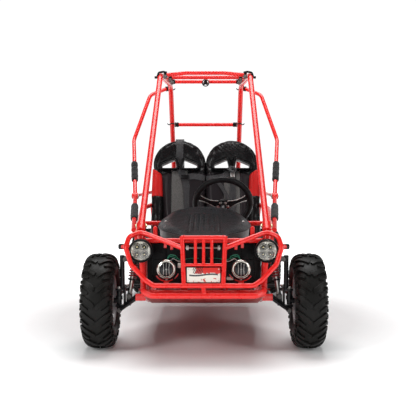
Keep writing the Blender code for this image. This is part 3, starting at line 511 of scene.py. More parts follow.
class Shape:
    """Gathers the forms of one piece into one mesh, each with the finish in use."""

    def __init__(self, surface=None):
        self.mesh = bmesh.new()
        self.surfaces = []
        self.current = 0
        if surface:
            self.use(surface)

    def use(self, surface):
        if surface not in self.surfaces:
            self.surfaces.append(surface)
        self.current = self.surfaces.index(surface)

    def face(self, corners):
        made = self.mesh.faces.new(corners)
        made.material_index = self.current

    def skin(self, rows, ring=False, closed=False):
        """Faces between rows of points: ring joins a row's ends, closed joins the last row to the first."""
        lines = [[self.mesh.verts.new(point) for point in row] for row in rows]
        pairs = list(zip(lines, lines[1:]))
        if closed:
            pairs.append((lines[-1], lines[0]))
        for low, high in pairs:
            count = len(low)
            for i in range(count if ring else count - 1):
                j = (i + 1) % count
                self.face((low[i], low[j], high[j], high[i]))
        return lines

    def loft(self, rows):
        """A closed form through rings of points, with a cap on both ends."""
        lines = self.skin(rows, ring=True)
        self.face(lines[0][::-1])
        self.face(lines[-1])

    def move(self, matrix):
        bmesh.ops.transform(self.mesh, matrix=matrix, verts=self.mesh.verts)

    def tube(self, path, radius, sides=18, closed=False, flat=1.0, guide=None):
        """Sweeps a ring along a path. radius is one number or one for each point, flat squashes the ring."""
        path = [Vector(point) for point in path]
        radii = radius if isinstance(radius, (list, tuple)) else [radius] * len(path)
        last = len(path) - 1
        rows = []
        across_it = None
        for i, (place, size) in enumerate(zip(path, radii)):
            before = path[i - 1] if i or closed else place
            after = path[(i + 1) % len(path)] if i < last or closed else place
            heading = (after - before).normalized()
            if across_it is None:
                across_it = Vector(guide) if guide else square_to(heading)[0]
            across_it = (across_it - heading * across_it.dot(heading)).normalized()
            other = heading.cross(across_it)
            ring = []
            for angle in turns(sides):
                ring.append(place + (across_it * math.cos(angle) + other * (flat * math.sin(angle))) * size)
            rows.append(ring)
        if closed:
            self.skin(rows, ring=True, closed=True)
        else:
            self.loft(rows)

    def rod(self, start, end, radius, sides=24, edge=0.0008):
        """A straight round bar with softened ends."""
        start, end = Vector(start), Vector(end)
        axis = end - start
        length = axis.length
        edge = min(edge, 0.4 * radius, 0.4 * length)
        inner = radius - edge
        profile = [(0, length), (inner, length), (radius, length - edge), (radius, edge), (inner, 0), (0, 0)]
        self.turn(profile, start, axis, sides)

    def turn(self, profile, centre, axis, steps=40, closed=False):
        """Turns a profile of (radius, height) about an axis through the centre."""
        axis = Vector(axis).normalized()
        first, second = square_to(axis)
        rows = []
        for angle in turns(steps):
            out = first * math.cos(angle) + second * math.sin(angle)
            rows.append([centre + out * radius + axis * height for radius, height in profile])
        self.skin(rows, ring=closed, closed=True)

    def collar(self, centre, axis, radii, heights, steps):
        """A round band about an axis: outer and inner radius, first and last height."""
        (outer, inner), (start, end) = radii, heights
        profile = [(outer, start), (outer, end), (inner, end), (inner, start)]
        self.turn(profile, centre, axis, steps, closed=True)

    def box(self, low, high, edge=0.001, turn=None, segments=2):
        """A box between two corners in world space, with rounded edges, turned about its middle."""
        low, high = Vector(low), Vector(high)
        size = high - low
        matrix = Matrix.Translation((low + high) / 2)
        if turn is not None:
            matrix = matrix @ turn.to_4x4()
        made = bmesh.ops.create_cube(self.mesh, size=1, matrix=matrix @ Matrix.Diagonal((*size, 1)))
        faces = {face for vert in made["verts"] for face in vert.link_faces}
        for face in faces:
            face.material_index = self.current
        if edge:
            edges = {joint for vert in made["verts"] for joint in vert.link_edges}
            bmesh.ops.bevel(
                self.mesh, geom=list(edges), offset=edge, segments=segments, profile=0.5, affect="EDGES",
                clamp_overlap=True, material=-1,
            )

    def side_box(self, side, x, stations, z, edge=0.001):
        low_x, high_x = sorted((side * x[0], side * x[1]))
        self.box(at(low_x, stations[0], z[0]), at(high_x, stations[1], z[1]), edge)

    def bolt(self, place, axis, across=0.012, washer=True):
        """A hexagon head on a washer, standing on a surface."""
        axis = Vector(axis).normalized()
        half = across / 2
        height = 0.45 * across
        base = 0.0
        if washer:
            base = 0.0012
            wide = 1.12 * across
            edge = base - 0.0003
            self.turn([(0, base), (wide - 0.0003, base), (wide, edge), (wide, 0), (0, 0)], place, axis, 24)
            half = 0.58 * across
        top, slope = base + height, base + height * 0.82
        self.turn([(0, top), (half * 0.78, top), (half, slope), (half, base), (0, base)], place, axis, 6)

    def bead(self, place, heading, radius, axis, main_radius):
        """The weld around a round bar where it comes out of a round tube."""
        heading = heading.normalized()
        if abs(heading.dot(axis)) > 0.93:
            return
        first, second = square_to(heading)
        into = heading - axis * heading.dot(axis)
        path, radii = [], []
        for angle in turns(36):
            out = (first * math.cos(angle) + second * math.sin(angle)) * radius
            off = out - axis * out.dot(axis)
            square = into.length_squared
            half = into.dot(off)
            reach = max(half * half - square * (off.length_squared - main_radius ** 2), 0)
            path.append(place + out + heading * ((math.sqrt(reach) - half) / square))
            radii.append(0.0021 * (1 + 0.16 * math.sin(angle * 13)))
        self.tube(path, radii, 6, closed=True)

    def make(self, name, body=None, slot=None, replaces=(), angle=35):
        bmesh.ops.remove_doubles(self.mesh, verts=self.mesh.verts, dist=0.000001)
        bmesh.ops.recalc_face_normals(self.mesh, faces=self.mesh.faces)
        data = bpy.data.meshes.new(name)
        self.mesh.to_mesh(data)
        self.mesh.free()
        for surface in self.surfaces:
            data.materials.append(surface)
        data.shade_smooth()
        data.set_sharp_from_angle(angle=math.radians(angle))
        obj = bpy.data.objects.new(name, data)
        bpy.context.scene.collection.objects.link(obj)
        if body:
            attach(obj, body)
        if replaces:
            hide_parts(*replaces)
        return obj


class Weldment(Shape):
    """Round tubes welded together: each end gets a bead where it meets a tube that is already there."""

    def __init__(self, surface):
        super().__init__(surface)
        self.laid = []

    def bar(self, path, radius):
        for end, inner in ((path[0], path[1]), (path[-1], path[-2])):
            for main, size in self.laid:
                gap, place, axis = nearest(main, end)
                if gap < size + 0.004:
                    self.bead(place, inner - end, radius, axis, size)
                    break
        self.tube(path, radius, 20)
        self.laid.append((path, radius))


# Welded tubes. The paths are the CAD's.

def build_main_frame():
    rail = [
        (0.235, -0.200, 0.266), (0.260, 0.250, 0.165), (0.260, 1.000, 0.165),
        (0.190, 1.170, 0.270), (0.190, 1.530, 0.270),
    ]
    frame_shape = Weldment(RED)
    frame_shape.bar(bend(across(rail), 0.06), 0.014)
    upper = [
        (0.2565, -0.157, 0.490), (0.266, 0.050, 0.490), (0.310, 0.300, 0.509),
        (0.334, 0.750, 0.560), (0.305, 1.050, 0.569), (0.190, 1.409, 0.514),
    ]
    uprights = (
        ((0.240, -0.197, 0.270), (0.2568, -0.157, 0.502), 0.013),
        ((0.190, 1.5195, 0.273), (0.190, 1.4080, 0.5325), 0.013),
    )
    struts = (
        ((0.2418, -0.078, 0.2386), (0.2604, -0.078, 0.4900), 0.009),
        ((0.2504, 0.078, 0.2036), (0.2700, 0.078, 0.4915), 0.009),
        ((0.260, 0.300, 0.166), (0.310, 0.300, 0.510), 0.011),
        ((0.260, 0.970, 0.166), (0.306, 1.045, 0.568), 0.011),
    )
    for _, side in SIDES:
        for start, end, radius in uprights:
            frame_shape.bar(line((start, end), side), radius)
        frame_shape.bar(bend(line(upper, side), 0.08), 0.0125)
        for start, end, radius in struts:
            frame_shape.bar(line((start, end), side), radius)
        frame_shape.bar(line([(0.252, -0.164, 0.448), (0.345, -0.125, 0.448)], side), 0.009)
        frame_brackets(frame_shape, side)
    crossers = (
        (0.251, -0.200, 0.268, 0.013), (0.2545, -0.160, 0.476, 0.010), (0.312, 0.330, 0.5125, 0.011),
        (0.304, 1.050, 0.5685, 0.011), (0.244, -0.020, 0.226, 0.010), (0.251, 0.118, 0.200, 0.012),
        (0.189, 1.190, 0.270, 0.012), (0.189, 1.300, 0.270, 0.012),
    )
    for half, station, z, radius in crossers:
        frame_shape.bar(line([(-half, station, z), (half, station, z)]), radius)
    for station in (0.600, 0.850):
        frame_shape.bar(bend(across([(0.2575, station, 0.168), (0.205, station, 0.225)]), 0.04), 0.012)
    steering_seats(frame_shape)
    frame_shape.box(at(-0.110, 1.130, 0.2795), at(0.150, 1.320, 0.2860), 0.0015)
    frame_shape.make("main_frame_tubes", "frame", "red_coat", ["main_frame"])


def frame_brackets(shape, side):
    shape.side_box(side, (0.236, 0.280), (-0.178, -0.126), (0.4990, 0.5055))
    shape.side_box(side, (0.168, 0.212), (1.380, 1.432), (0.5330, 0.5395))
    shape.side_box(side, (0.262, 0.2855), (-0.065, -0.035), (0.492, 0.512))
    for end in (-1, 1):
        tab = sorted((end * 0.0665, end * 0.0727))
        ear = sorted((end * 0.0145, end * 0.0185))
        shape.side_box(side, (0.245, 0.289), tab, (0.2135, 0.2430))
        shape.side_box(side, (0.236, 0.268), tab, (0.4300, 0.4600))
        shape.side_box(side, (0.2615, 0.297), ear, (0.438, 0.492))
    bearing = at(side * 0.190, WHEELBASE, AXLE_Z)
    shape.side_box(side, (0.183, 0.197), (1.372, 1.428), (0.228, 0.263))
    housing = [
        (0.0142, 0.011), (0.026, 0.011), (0.034, 0.007), (0.034, -0.007), (0.026, -0.011), (0.0142, -0.011)
    ]
    shape.turn(housing, bearing, X_AXIS, 40, closed=True)


def steering_seats(shape):
    for x in (-0.090, 0.090):
        shape.box(at(x - 0.015, 0.100, 0.203), at(x + 0.015, 0.136, 0.2417))
        for front in (0.100, 0.1270):
            shape.box(at(x - 0.015, front, 0.235), at(x + 0.015, front + 0.009, 0.2620))
    shape.box(at(0.073, 0.098, 0.2590), at(0.107, 0.138, 0.3050), 0.004)
    for x in (0.0745, 0.1015):
        shape.box(at(x, 0.322, 0.455), at(x + 0.004, 0.338, 0.508))


def build_nose_guard():
    hoop = [
        (0.0828, -0.277, 0.458), (0.200, -0.226, 0.498), (0.254, -0.202, 0.515), (0.297, -0.225, 0.498),
        (0.308, -0.252, 0.457), (0.286, -0.270, 0.392), (0.2275, -0.287, 0.333), (0.195, -0.299, 0.3125),
    ]
    bumper = [(0.243, -0.2095, 0.300), (0.236, -0.285, 0.288), (0.205, -0.305, 0.2745)]
    guard = Weldment(RED)
    guard.bar(bend(across(hoop), 0.035, 10), 0.0098)
    guard.bar(bend(across(bumper), 0.03), 0.012)
    for _, side in SIDES:
        guard.bar(line([(0.085, -0.2695, 0.503), (0.0765, -0.300, 0.3125)], side), 0.009)
    guard.bar(line([(0, -0.300, 0.312), (0, -0.305, 0.275)]), 0.009)
    guard.bar(line([(-0.087, -0.2705, 0.498), (0.087, -0.2705, 0.498)]), 0.009)
    guard.bar(line([(-0.080, -0.2873, 0.3925), (0.080, -0.2873, 0.3925)]), 0.006)
    for x in (-0.032, 0, 0.032):
        guard.bar(line([(x, -0.2705, 0.498), (x, -0.2873, 0.3925)]), 0.0062)
    for _, side in SIDES:
        hoop_end, hoop_next = line(hoop[:2], side)
        post = at(side * 0.085, -0.2695, 0.503) - at(side * 0.0765, -0.300, 0.3125)
        guard.bead(hoop_end, hoop_next - hoop_end, 0.0098, post.normalized(), 0.009)
        guard.side_box(side, (0.138, 0.158), (-0.300, -0.212), (0.3155, 0.3205))
        guard.side_box(side, (0.244, 0.264), (-0.202, -0.1790), (0.5060, 0.5130))
        lamp_cradle(guard, side)
    guard.make("nose_guard_tubes", "frame", "red_coat", ["nose_guard"])


def lamp_cradle(shape, side):
    """Curved strap under the fog lamp, with an upright tab on its outer side."""
    centre = at(side * 0.148, -0.228, 0.370)
    for first, last, reach, width in ((215, 300, 0.0475, 0.012), (310, 335, 0.049, 0.010)):
        rows = []
        for step in range(13):
            angle = math.radians(first + (last - first) * step / 12)
            out = Vector((-side * math.cos(angle), 0, math.sin(angle)))
            near, far = centre + out * reach, centre + out * (reach + 0.003)
            depth = Vector((0, width, 0))
            rows.append([near - depth, near + depth, far + depth, far - depth])
        shape.loft(rows)


def cage_path(side):
    path = [(0.258, -0.150, 0.5130), (0.230, 0.660, 1.250), (0.200, 1.080, 1.250), (0.190, 1.4035, 0.5430)]
    return bend(line(path, side), 0.11, 12)


def build_cage(label, side):
    path = cage_path(side)
    cage = Weldment(RED)
    cage.bar(path, 0.014)
    cage.side_box(side, (0.236, 0.280), (-0.178, -0.126), (0.5060, 0.5125))
    cage.side_box(side, (0.168, 0.212), (1.380, 1.432), (0.5400, 0.5465))
    along = (path[1] - path[0]).normalized()
    cage.rod(path[0] + along * 0.003, path[0] + along * 0.045, 0.0185, 32, 0.0015)
    cage.make("cage_tube_" + label, "frame", "red_coat", ["cage_" + label])

    fixings = Shape(ZINC)
    cross = path[0] + along * 0.030
    fixings.bolt(cross + X_AXIS * side * 0.0180, X_AXIS * side, 0.011)
    fixings.bolt(cross - X_AXIS * side * 0.0180, X_AXIS * -side, 0.011)
    for station in (-0.172, -0.132):
        fixings.bolt(at(side * 0.273, station, 0.5125), Z_AXIS, 0.0085)
    for station in (1.386, 1.426):
        fixings.bolt(at(side * 0.173, station, 0.5465), Z_AXIS, 0.0085)
    fixings.make("cage_bolts_" + label, "frame", "bright_steel")


def build_roof():
    arch = [
        (-0.2130, 0.652, 1.2490), (-0.100, 0.652, 1.2600), (0.100, 0.652, 1.2600), (0.2130, 0.652, 1.2490)
    ]
    front = Weldment(RED)
    front.bar(bend(line(arch), 0.25, 10), 0.010)
    front.bar(line([(-0.2080, 0.750, 1.250), (0.2080, 0.750, 1.250)]), 0.010)
    for _, side in SIDES:
        front.side_box(side, (0.190, 0.198), (0.650, 0.752), (1.2440, 1.2520))
    front.make("roof_front_tubes", "frame", "red_coat", ["roof_front_bar"])
    rear = Weldment(RED)
    rear.bar(line([(-0.1945, 0.940, 1.250), (0.1945, 0.940, 1.250)]), 0.010)
    rear.make("roof_rear_tube", "frame", "red_coat", ["roof_rear_bar"])
    cross = Weldment(RED)
    cross.bar(line([(-0.1815, 1.1805, 1.030), (0.1815, 1.1805, 1.030)]), 0.0105)
    cross.make("rear_cross_tube", "frame", "red_coat", ["rear_cross_bar"])


SIDE_KNEE = (0.387, 0.850, 0.926)
SIDE_JOINT = (0.341, 0.450, 0.637)
SIDE_FRONT = (0.297, -0.050, 0.510)


def build_side_bar(label, side):
    top = [(0.230, 1.088, 1.226), (0.310, 1.000, 1.183)]
    bar = Weldment(RED)
    bar.bar(bend(line([*top, SIDE_KNEE, SIDE_JOINT, SIDE_FRONT], side), 0.07, 10), 0.0105)
    brace = [(0.341, 0.452, 0.637), (0.340, 1.020, 0.632), (0.222, 1.335, 0.650)]
    bar.bar(bend(line(brace, side), 0.07, 10), 0.0095)
    joint = at(side * 0.341, 0.450, 0.637)
    bar.rod(joint - X_AXIS * 0.0145, joint + X_AXIS * 0.0145, 0.015, 32, 0.001)
    bar.make("side_bar_tube_" + label, "frame", "red_coat", ["side_bar_" + label])

    fixings = Shape(PALE_PLASTIC)
    outward = X_AXIS * side
    for direction in (outward, -outward):
        face = joint + direction * 0.0145
        fixings.use(PALE_PLASTIC)
        fixings.turn(
            [(0.0055, 0.0022), (0.0128, 0.0022), (0.0135, 0.0012), (0.0135, 0), (0.0055, 0)], face,
            direction, 32, closed=True
        )
        fixings.use(STEEL)
        fixings.bolt(face + direction * 0.0002, direction, 0.0105, washer=False)
    fixings.make("side_bar_bolts_" + label, "frame", "bright_steel")


def build_grips(label, side):
    """Foam sleeves on the door bar, each rolled at its ends; the right upper one is pulled in at its waist.
    """
    for name, start, end, first, last in (
        ("upper", SIDE_KNEE, SIDE_JOINT, 0.43, 0.75), ("lower", SIDE_JOINT, SIDE_FRONT, 0.31, 0.72),
    ):
        low, high = at(side * start[0], *start[1:]), at(side * end[0], *end[1:])
        along = high - low
        rings = 44
        path, radii = [], []
        for i in range(rings + 1):
            t = i / rings
            path.append(low + along * (first + (last - first) * t))
            ends = min(t, 1 - t) * rings
            roll = 0.0125 + 0.0044 * math.sin(min(ends / 3, 1) * math.pi / 2)
            wave = 0.0005 * math.sin(t * 21 + side) + 0.0004 * math.sin(t * 53)
            pinch = 0.0032 * math.exp(-((t - 0.30) / 0.035) ** 2) if (name, side) == ("upper", -1) else 0
            radii.append(roll + wave * (ends > 2) - pinch)
        grip = Shape(FOAM)
        grip.tube(path, radii, 28)
        node = "side_grip_" + name + "_" + label
        grip.make(node + "_sleeve", "frame", "foam_grip", [node])


# Hood, lamps and badge

HOOD_ROWS = (
    (-0.205, 0.082, 0.4990, 0.006), (-0.150, 0.096, 0.5130, 0.014), (-0.080, 0.130, 0.5250, 0.024),
    (0.000, 0.172, 0.5360, 0.032), (0.080, 0.196, 0.5450, 0.036), (0.160, 0.205, 0.5540, 0.036),
    (0.240, 0.194, 0.5680, 0.034), (0.310, 0.170, 0.5810, 0.030), (0.350, 0.152, 0.5880, 0.026),
)
HOOD_SHEET = 0.0035
SLOT_PITCH = 0.0212


def ease(value, start, end):
    t = min(max((value - start) / (end - start), 0), 1)
    return t * t * (3 - 2 * t)


def hood_row(t):
    """Station, half width, crown and drop along the hood, from a smooth curve through the CAD's rows."""
    count = len(HOOD_ROWS) - 1
    i = min(int(t * count), count - 1)
    rows = [HOOD_ROWS[min(max(i + k, 0), count)] for k in (-1, 0, 1, 2)]
    return [between(*column, t * count - i) for column in zip(*rows)]


def hood_point(t, u, depth=0.0):
    """A point of the hood's skin: t runs from nose to dash, u from -1 to 1 across."""
    station, half, crown, drop = hood_row(t)
    x = half * u
    z = crown - drop * abs(u) ** 2.6
    along = ease(station, -0.150, -0.125) * (1 - ease(station, 0.205, 0.235))
    for i in range(-3, 4):
        z -= 0.0042 * along * math.exp(-(((x - SLOT_PITCH * i) / 0.0040) ** 4))
    shoulder = ease(abs(u), 0.60, 0.80) * (1 - ease(abs(u), 0.86, 1.0))
    z += 0.0022 * shoulder * ease(t, 0.05, 0.2)
    panel = ease(abs(x), 0.080, 0.088) * (1 - ease(abs(u), 0.90, 0.97)) * ease(station, -0.02, 0.04)
    z -= 0.0016 * panel
    return at(x, station, z - depth)


def build_hood():
    rows, columns = 88, 128
    hood = Shape(HOOD_PLASTIC)

    def sheet(depth):
        return [
            [hood_point(i / rows, 2 * j / columns - 1, depth) for j in range(columns + 1)]
            for i in range(rows + 1)
        ]

    top, under = sheet(0), sheet(HOOD_SHEET)
    hood.skin(top)
    hood.skin([row[::-1] for row in under])
    edge = [row[-1] for row in top] + top[-1][-2::-1] + [row[0] for row in top[-2::-1]] + top[0][1:-1]
    rim = [point - Z_AXIS * HOOD_SHEET / 2 for point in edge]
    hood.tube(rim, 0.0030, 10, closed=True)
    hood.use(GRIP_RUBBER)
    skirt = []
    for i in range(rows + 1):
        t = i / rows
        station, half, crown, drop = hood_row(t)
        fall = 0.016 + 0.026 * ease(station, -0.20, -0.02)
        skirt.append((station, half - 0.003, crown - drop - 0.002, fall))
    for side in (1, -1):
        outer = [
            [at(side * (half - 0.10 * fall * s), station, z - fall * s) for s in (0, 0.25, 0.5, 0.75, 1)]
            for station, half, z, fall in skirt
        ]
        inner = [[point - X_AXIS * side * 0.0025 for point in row] for row in outer]
        hood.skin([a + b[::-1] for a, b in zip(outer, inner)], ring=True)
    hood.use(BLACK_PLASTIC)
    hood.box(at(-0.232, -0.147, 0.300), at(0.232, -0.143, 0.485), 0.001)
    hood.box(at(-0.070, -0.1465, 0.480), at(0.070, -0.1435, 0.511), 0.0008)
    for i in range(-4, 5):
        hood.box(at(i * 0.052 - 0.003, -0.1505, 0.306), at(i * 0.052 + 0.003, -0.1465, 0.478), 0.0012)
    for z in (0.315, 0.395, 0.470):
        hood.box(at(-0.226, -0.1500, z - 0.0025), at(0.226, -0.1465, z + 0.0025), 0.0010)
    hood.make("hood_moulding", "frame", "black_moulding", ["hood"], 40)

    posts = Shape(RED)
    fixings = Shape(STEEL)
    for _, side in SIDES:
        base, top_end = at(side * 0.197, -0.160, 0.476), at(side * 0.1975, -0.168, 0.528)
        posts.tube(
            [base, top_end, top_end + Z_AXIS * 0.004, top_end + Z_AXIS * 0.007],
            [0.009, 0.009, 0.0072, 0.0035], 18
        )
        for x, z in ((0.130, 0.448), (0.156, 0.455)):
            posts.box(at(side * x - 0.006, -0.176, z - 0.008), at(side * x + 0.006, -0.172, z + 0.024), 0.001)
        fixings.bolt(at(side * 0.172, 0.120, 0.5345), Z_AXIS, 0.007)
    posts.make("hood_posts", "frame", "red_coat")
    fixings.make("hood_bolts", "frame", "bright_steel")


def build_badge():
    """The printed plate, with a rivet at each corner."""
    low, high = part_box("badge_plate")
    badge = Shape(PLATE)
    badge.box(low, high, 0.0014)
    badge.use(STEEL)
    for x in (low.x + 0.006, high.x - 0.006):
        for z in (low.z + 0.006, high.z - 0.006):
            badge.turn(
                [(0, 0.0014), (0.0018, 0.0011), (0.0026, 0), (0, 0)], Vector((x, low.y, z)), -Y_AXIS, 16
            )
    badge.make("badge_face", "frame", "badge_face", ["badge_plate"])


def build_headlight(label, side):
    """A round lamp: deep black bowl, bright faceted reflector with four cells, and a domed lens."""
    back = at(side * 0.251, -0.1868, 0.442)
    out = -Y_AXIS
    lamp = Shape(BLACK_PLASTIC)
    lamp.turn([
        (0.0402, 0.0475), (0.0412, 0.0555), (0.0440, 0.0560), (0.0474, 0.0525), (0.0480, 0.047),
        (0.0480, 0.036), (0.0462, 0.033), (0.0440, 0.027), (0.0410, 0.020), (0.0340, 0.008), (0.0280, 0.0),
        (0.0, 0.0), (0.0, 0.004), (0.026, 0.004), (0.0385, 0.022), (0.0385, 0.0475),
    ], back, out, 72)
    for angle in range(20, 380, 40):
        turn = math.radians(angle)
        spoke = X_AXIS * math.cos(turn) + Z_AXIS * math.sin(turn)
        lamp.tube([back + spoke * 0.030 - Y_AXIS * 0.004, back + spoke * 0.0455 - Y_AXIS * 0.030], 0.0014, 6)
    lamp.make("headlight_bowl_" + label, "frame", "lamp_housing", ["headlight_" + label])

    bright = Shape(REFLECTOR)
    face = back + out * 0.043
    facets = [
        (0.0, -0.0105), (0.010, -0.0100), (0.022, -0.0072), (0.033, -0.0025), (0.0398, 0.0030),
        (0.0398, 0.0012), (0.0, -0.0125)
    ]
    bright.turn(facets, face, out, 20)
    for column in (-1, 1):
        for row in (-1, 1):
            cell = face + X_AXIS * (column * 0.0145) + Z_AXIS * (row * 0.0145)
            bright.use(BLACK_PLASTIC)
            bright.turn(
                [(0.0122, 0.0008), (0.0122, 0.0022), (0.0142, 0.0018), (0.0142, 0.0004)], cell, out, 28,
                closed=True
            )
            bright.use(REFLECTOR)
            cup = [
                (0.0040, -0.0050), (0.0060, -0.0042), (0.0100, -0.0010), (0.0118, 0.0030), (0.0126, 0.0030),
                (0.0110, -0.0022), (0.0064, -0.0060), (0.0040, -0.0062),
            ]
            bright.turn(cup, cell, out, 28, closed=True)
            bright.use(BLACK_PLASTIC)
            bright.turn(
                [(0.0040, 0.0008), (0.0058, 0.0004), (0.0062, -0.004), (0.0040, -0.004)], cell, out, 24,
                closed=True
            )
            bright.use(AMBER_TINT)
            bright.turn(
                [(0, 0.0018), (0.0024, 0.0012), (0.0040, -0.0005), (0.0040, -0.004), (0, -0.004)], cell,
                out, 20
            )
            bright.use(REFLECTOR)
            for turn in turns(10):
                bar = X_AXIS * math.cos(turn) + Z_AXIS * math.sin(turn)
                bright.tube(
                    [cell + bar * 0.0145 + out * 0.0006, cell + bar * 0.0178 - out * 0.0010], 0.0007, 6
                )
    bright.tube([face + X_AXIS * 0.0005 + Z_AXIS * s * 0.036 for s in (-1, 1)], 0.0012, 6)
    bright.tube([face + X_AXIS * s * 0.036 for s in (-1, 1)], 0.0012, 6)
    bright.make("headlight_reflector_" + label, "frame", "chrome_shell", angle=22)

    glass = Shape(LENS)
    dome = [
        (0.0, 0.0105), (0.014, 0.0100), (0.028, 0.0085), (0.0395, 0.0058), (0.0395, 0.0046),
        (0.028, 0.0070), (0.014, 0.0085), (0.0, 0.0090)
    ]
    glass.turn(dome, face, out, 64)
    glass.make("headlight_lens_" + label, "frame", "lamp_housing")


def build_fog_lamp(label, side):
    """A chromed can with a wide bright ring round a dark barred glass."""
    back = at(side * 0.148, -0.195, 0.370)
    out = -Y_AXIS
    can = Shape(RING_CHROME)
    can.turn([
        (0.0258, 0.0480), (0.0262, 0.0548), (0.0278, 0.0580), (0.0300, 0.0570), (0.0315, 0.0596),
        (0.0335, 0.0602), (0.0362, 0.0590), (0.0380, 0.0560), (0.0385, 0.0520), (0.0385, 0.0450),
        (0.0368, 0.0430), (0.0258, 0.0430),
    ], back, out, 72, closed=True)
    can.use(BLUE_CHROME)
    can.turn([
        (0.0368, 0.0440), (0.0370, 0.0400), (0.0362, 0.0380), (0.0340, 0.0330), (0.0322, 0.0200),
        (0.0270, 0.0070), (0.0180, 0.0), (0.0, 0.0), (0.0, 0.003), (0.0255, 0.010), (0.0255, 0.0440),
    ], back, out, 72)
    can.use(STEEL)
    can.rod(at(side * 0.148, -0.228, 0.3205), at(side * 0.148, -0.228, 0.345), 0.0048)
    can.bolt(at(side * 0.148, -0.228, 0.3205), Z_AXIS, 0.0095)
    can.make("fog_lamp_can_" + label, "frame", "chrome_shell", ["fog_lamp_" + label], 40)

    face = back + out * 0.0525
    glass = Shape(DARK_GLASS)
    glass.turn(
        [(0.0, 0.0030), (0.012, 0.0026), (0.0256, 0.0), (0.0256, -0.002), (0.0, -0.002)], face, out, 56
    )
    glass.use(STEEL)
    for offset in (-0.0105, 0, 0.0105):
        half = math.sqrt(0.0245 ** 2 - offset ** 2)
        bow = []
        for s in (-1, -0.5, 0, 0.5, 1):
            aside = face + X_AXIS * offset * (1 + 0.12 * abs(s))
            bow.append(aside + Z_AXIS * (half * s) - Y_AXIS * (0.0034 - 0.0020 * s * s))
        glass.tube(smooth(bow, 5), 0.00085, 8)
    glass.turn(
        [(0, 0.0068), (0.0022, 0.0062), (0.0036, 0.0040), (0.0038, 0.0020), (0, 0.0020)], face, out, 24
    )
    glass.make("fog_lamp_glass_" + label, "frame", "lamp_housing", angle=40)


def build_wiring():
    """Lamp leads that run from each fog lamp to the loom behind the grille, clipped at both ends."""
    green = Shape(GREEN_WIRE)
    white = Shape(PALE_PLASTIC)
    for _, side in SIDES:
        for lift, shift in ((0.0, 0.0), (0.006, 0.006)):
            path = line([
                (0.148, -0.215, 0.402), (0.136, -0.228, 0.418 + lift),
                (0.118 - shift, -0.225, 0.415 + lift), (0.100, -0.205, 0.405), (0.080, -0.185, 0.402),
                (0.052, -0.172, 0.405), (0.020, -0.166, 0.404),
            ], side)
            green.tube(smooth(path, 6), 0.0016, 8)
        path = line(
            [(0.135, -0.200, 0.398), (0.122, -0.212, 0.408), (0.105, -0.205, 0.398), (0.088, -0.18, 0.394)],
            side
        )
        white.tube(smooth(path, 6), 0.0014, 8)
    white.box(at(-0.104, -0.222, 0.372), at(-0.092, -0.206, 0.390), 0.0015)
    white.box(at(0.092, -0.225, 0.3235), at(0.118, -0.206, 0.3335), 0.0015)
    green.make("lamp_leads_green", "frame", "black_moulding")
    white.make("lamp_leads_pale", "frame", "black_moulding")


# Wheels

LUG_HEIGHT = 0.0075
PITCHES = 18


class TyreForm:
    """The tyre's outer skin as a curve from crown to bead, and the lugs laid on it."""

    def __init__(self, width):
        self.half = width / 2
        h = self.half
        points = [
            (0.0, TYRE_RADIUS), (0.32 * h, 0.9965 * TYRE_RADIUS), (0.60 * h, 0.975 * TYRE_RADIUS),
            (0.84 * h, 0.925 * TYRE_RADIUS), (0.975 * h, 0.845 * TYRE_RADIUS),
            (0.995 * h, 0.74 * TYRE_RADIUS), (0.94 * h, 0.635 * TYRE_RADIUS),
            (0.80 * h, 0.553 * TYRE_RADIUS), (0.72 * h, 0.522 * TYRE_RADIUS),
        ]
        self.line = [Vector((across_it, 0, radius)) for across_it, radius in points]
        self.curve = smooth(self.line, 10)
        self.reach = [0.0]
        for a, b in zip(self.curve, self.curve[1:]):
            self.reach.append(self.reach[-1] + (b - a).length)

    def profile(self, distance):
        """Place and outward direction at a distance from the crown, measured over the skin."""
        sign = -1 if distance < 0 else 1
        distance = min(abs(distance), self.reach[-1] - 1e-6)
        i = next(k for k in range(len(self.reach) - 1) if self.reach[k + 1] > distance)
        t = (distance - self.reach[i]) / (self.reach[i + 1] - self.reach[i])
        place = self.curve[i].lerp(self.curve[i + 1], t)
        heading = (self.curve[i + 1] - self.curve[i]).normalized()
        out = Vector((-heading.z, 0, heading.x))
        if out.z < 0 and place.x < 0.5 * self.half:
            out = -out
        if out.x < 0:
            out = -out
        return sign * place.x, place.z, Vector((sign * out.x, 0, out.z))

    def point(self, distance, angle, depth):
        x, radius, out = self.profile(distance)
        x -= out.x * depth
        radius -= out.z * depth
        return Vector((x, -radius * math.cos(angle), radius * math.sin(angle)))

    def floor_depth(self, distance):
        """How far the carcass lies below the tread: full under the tread, nothing on the wall."""
        return LUG_HEIGHT * (1 - ease(abs(distance), 0.092, 0.112))


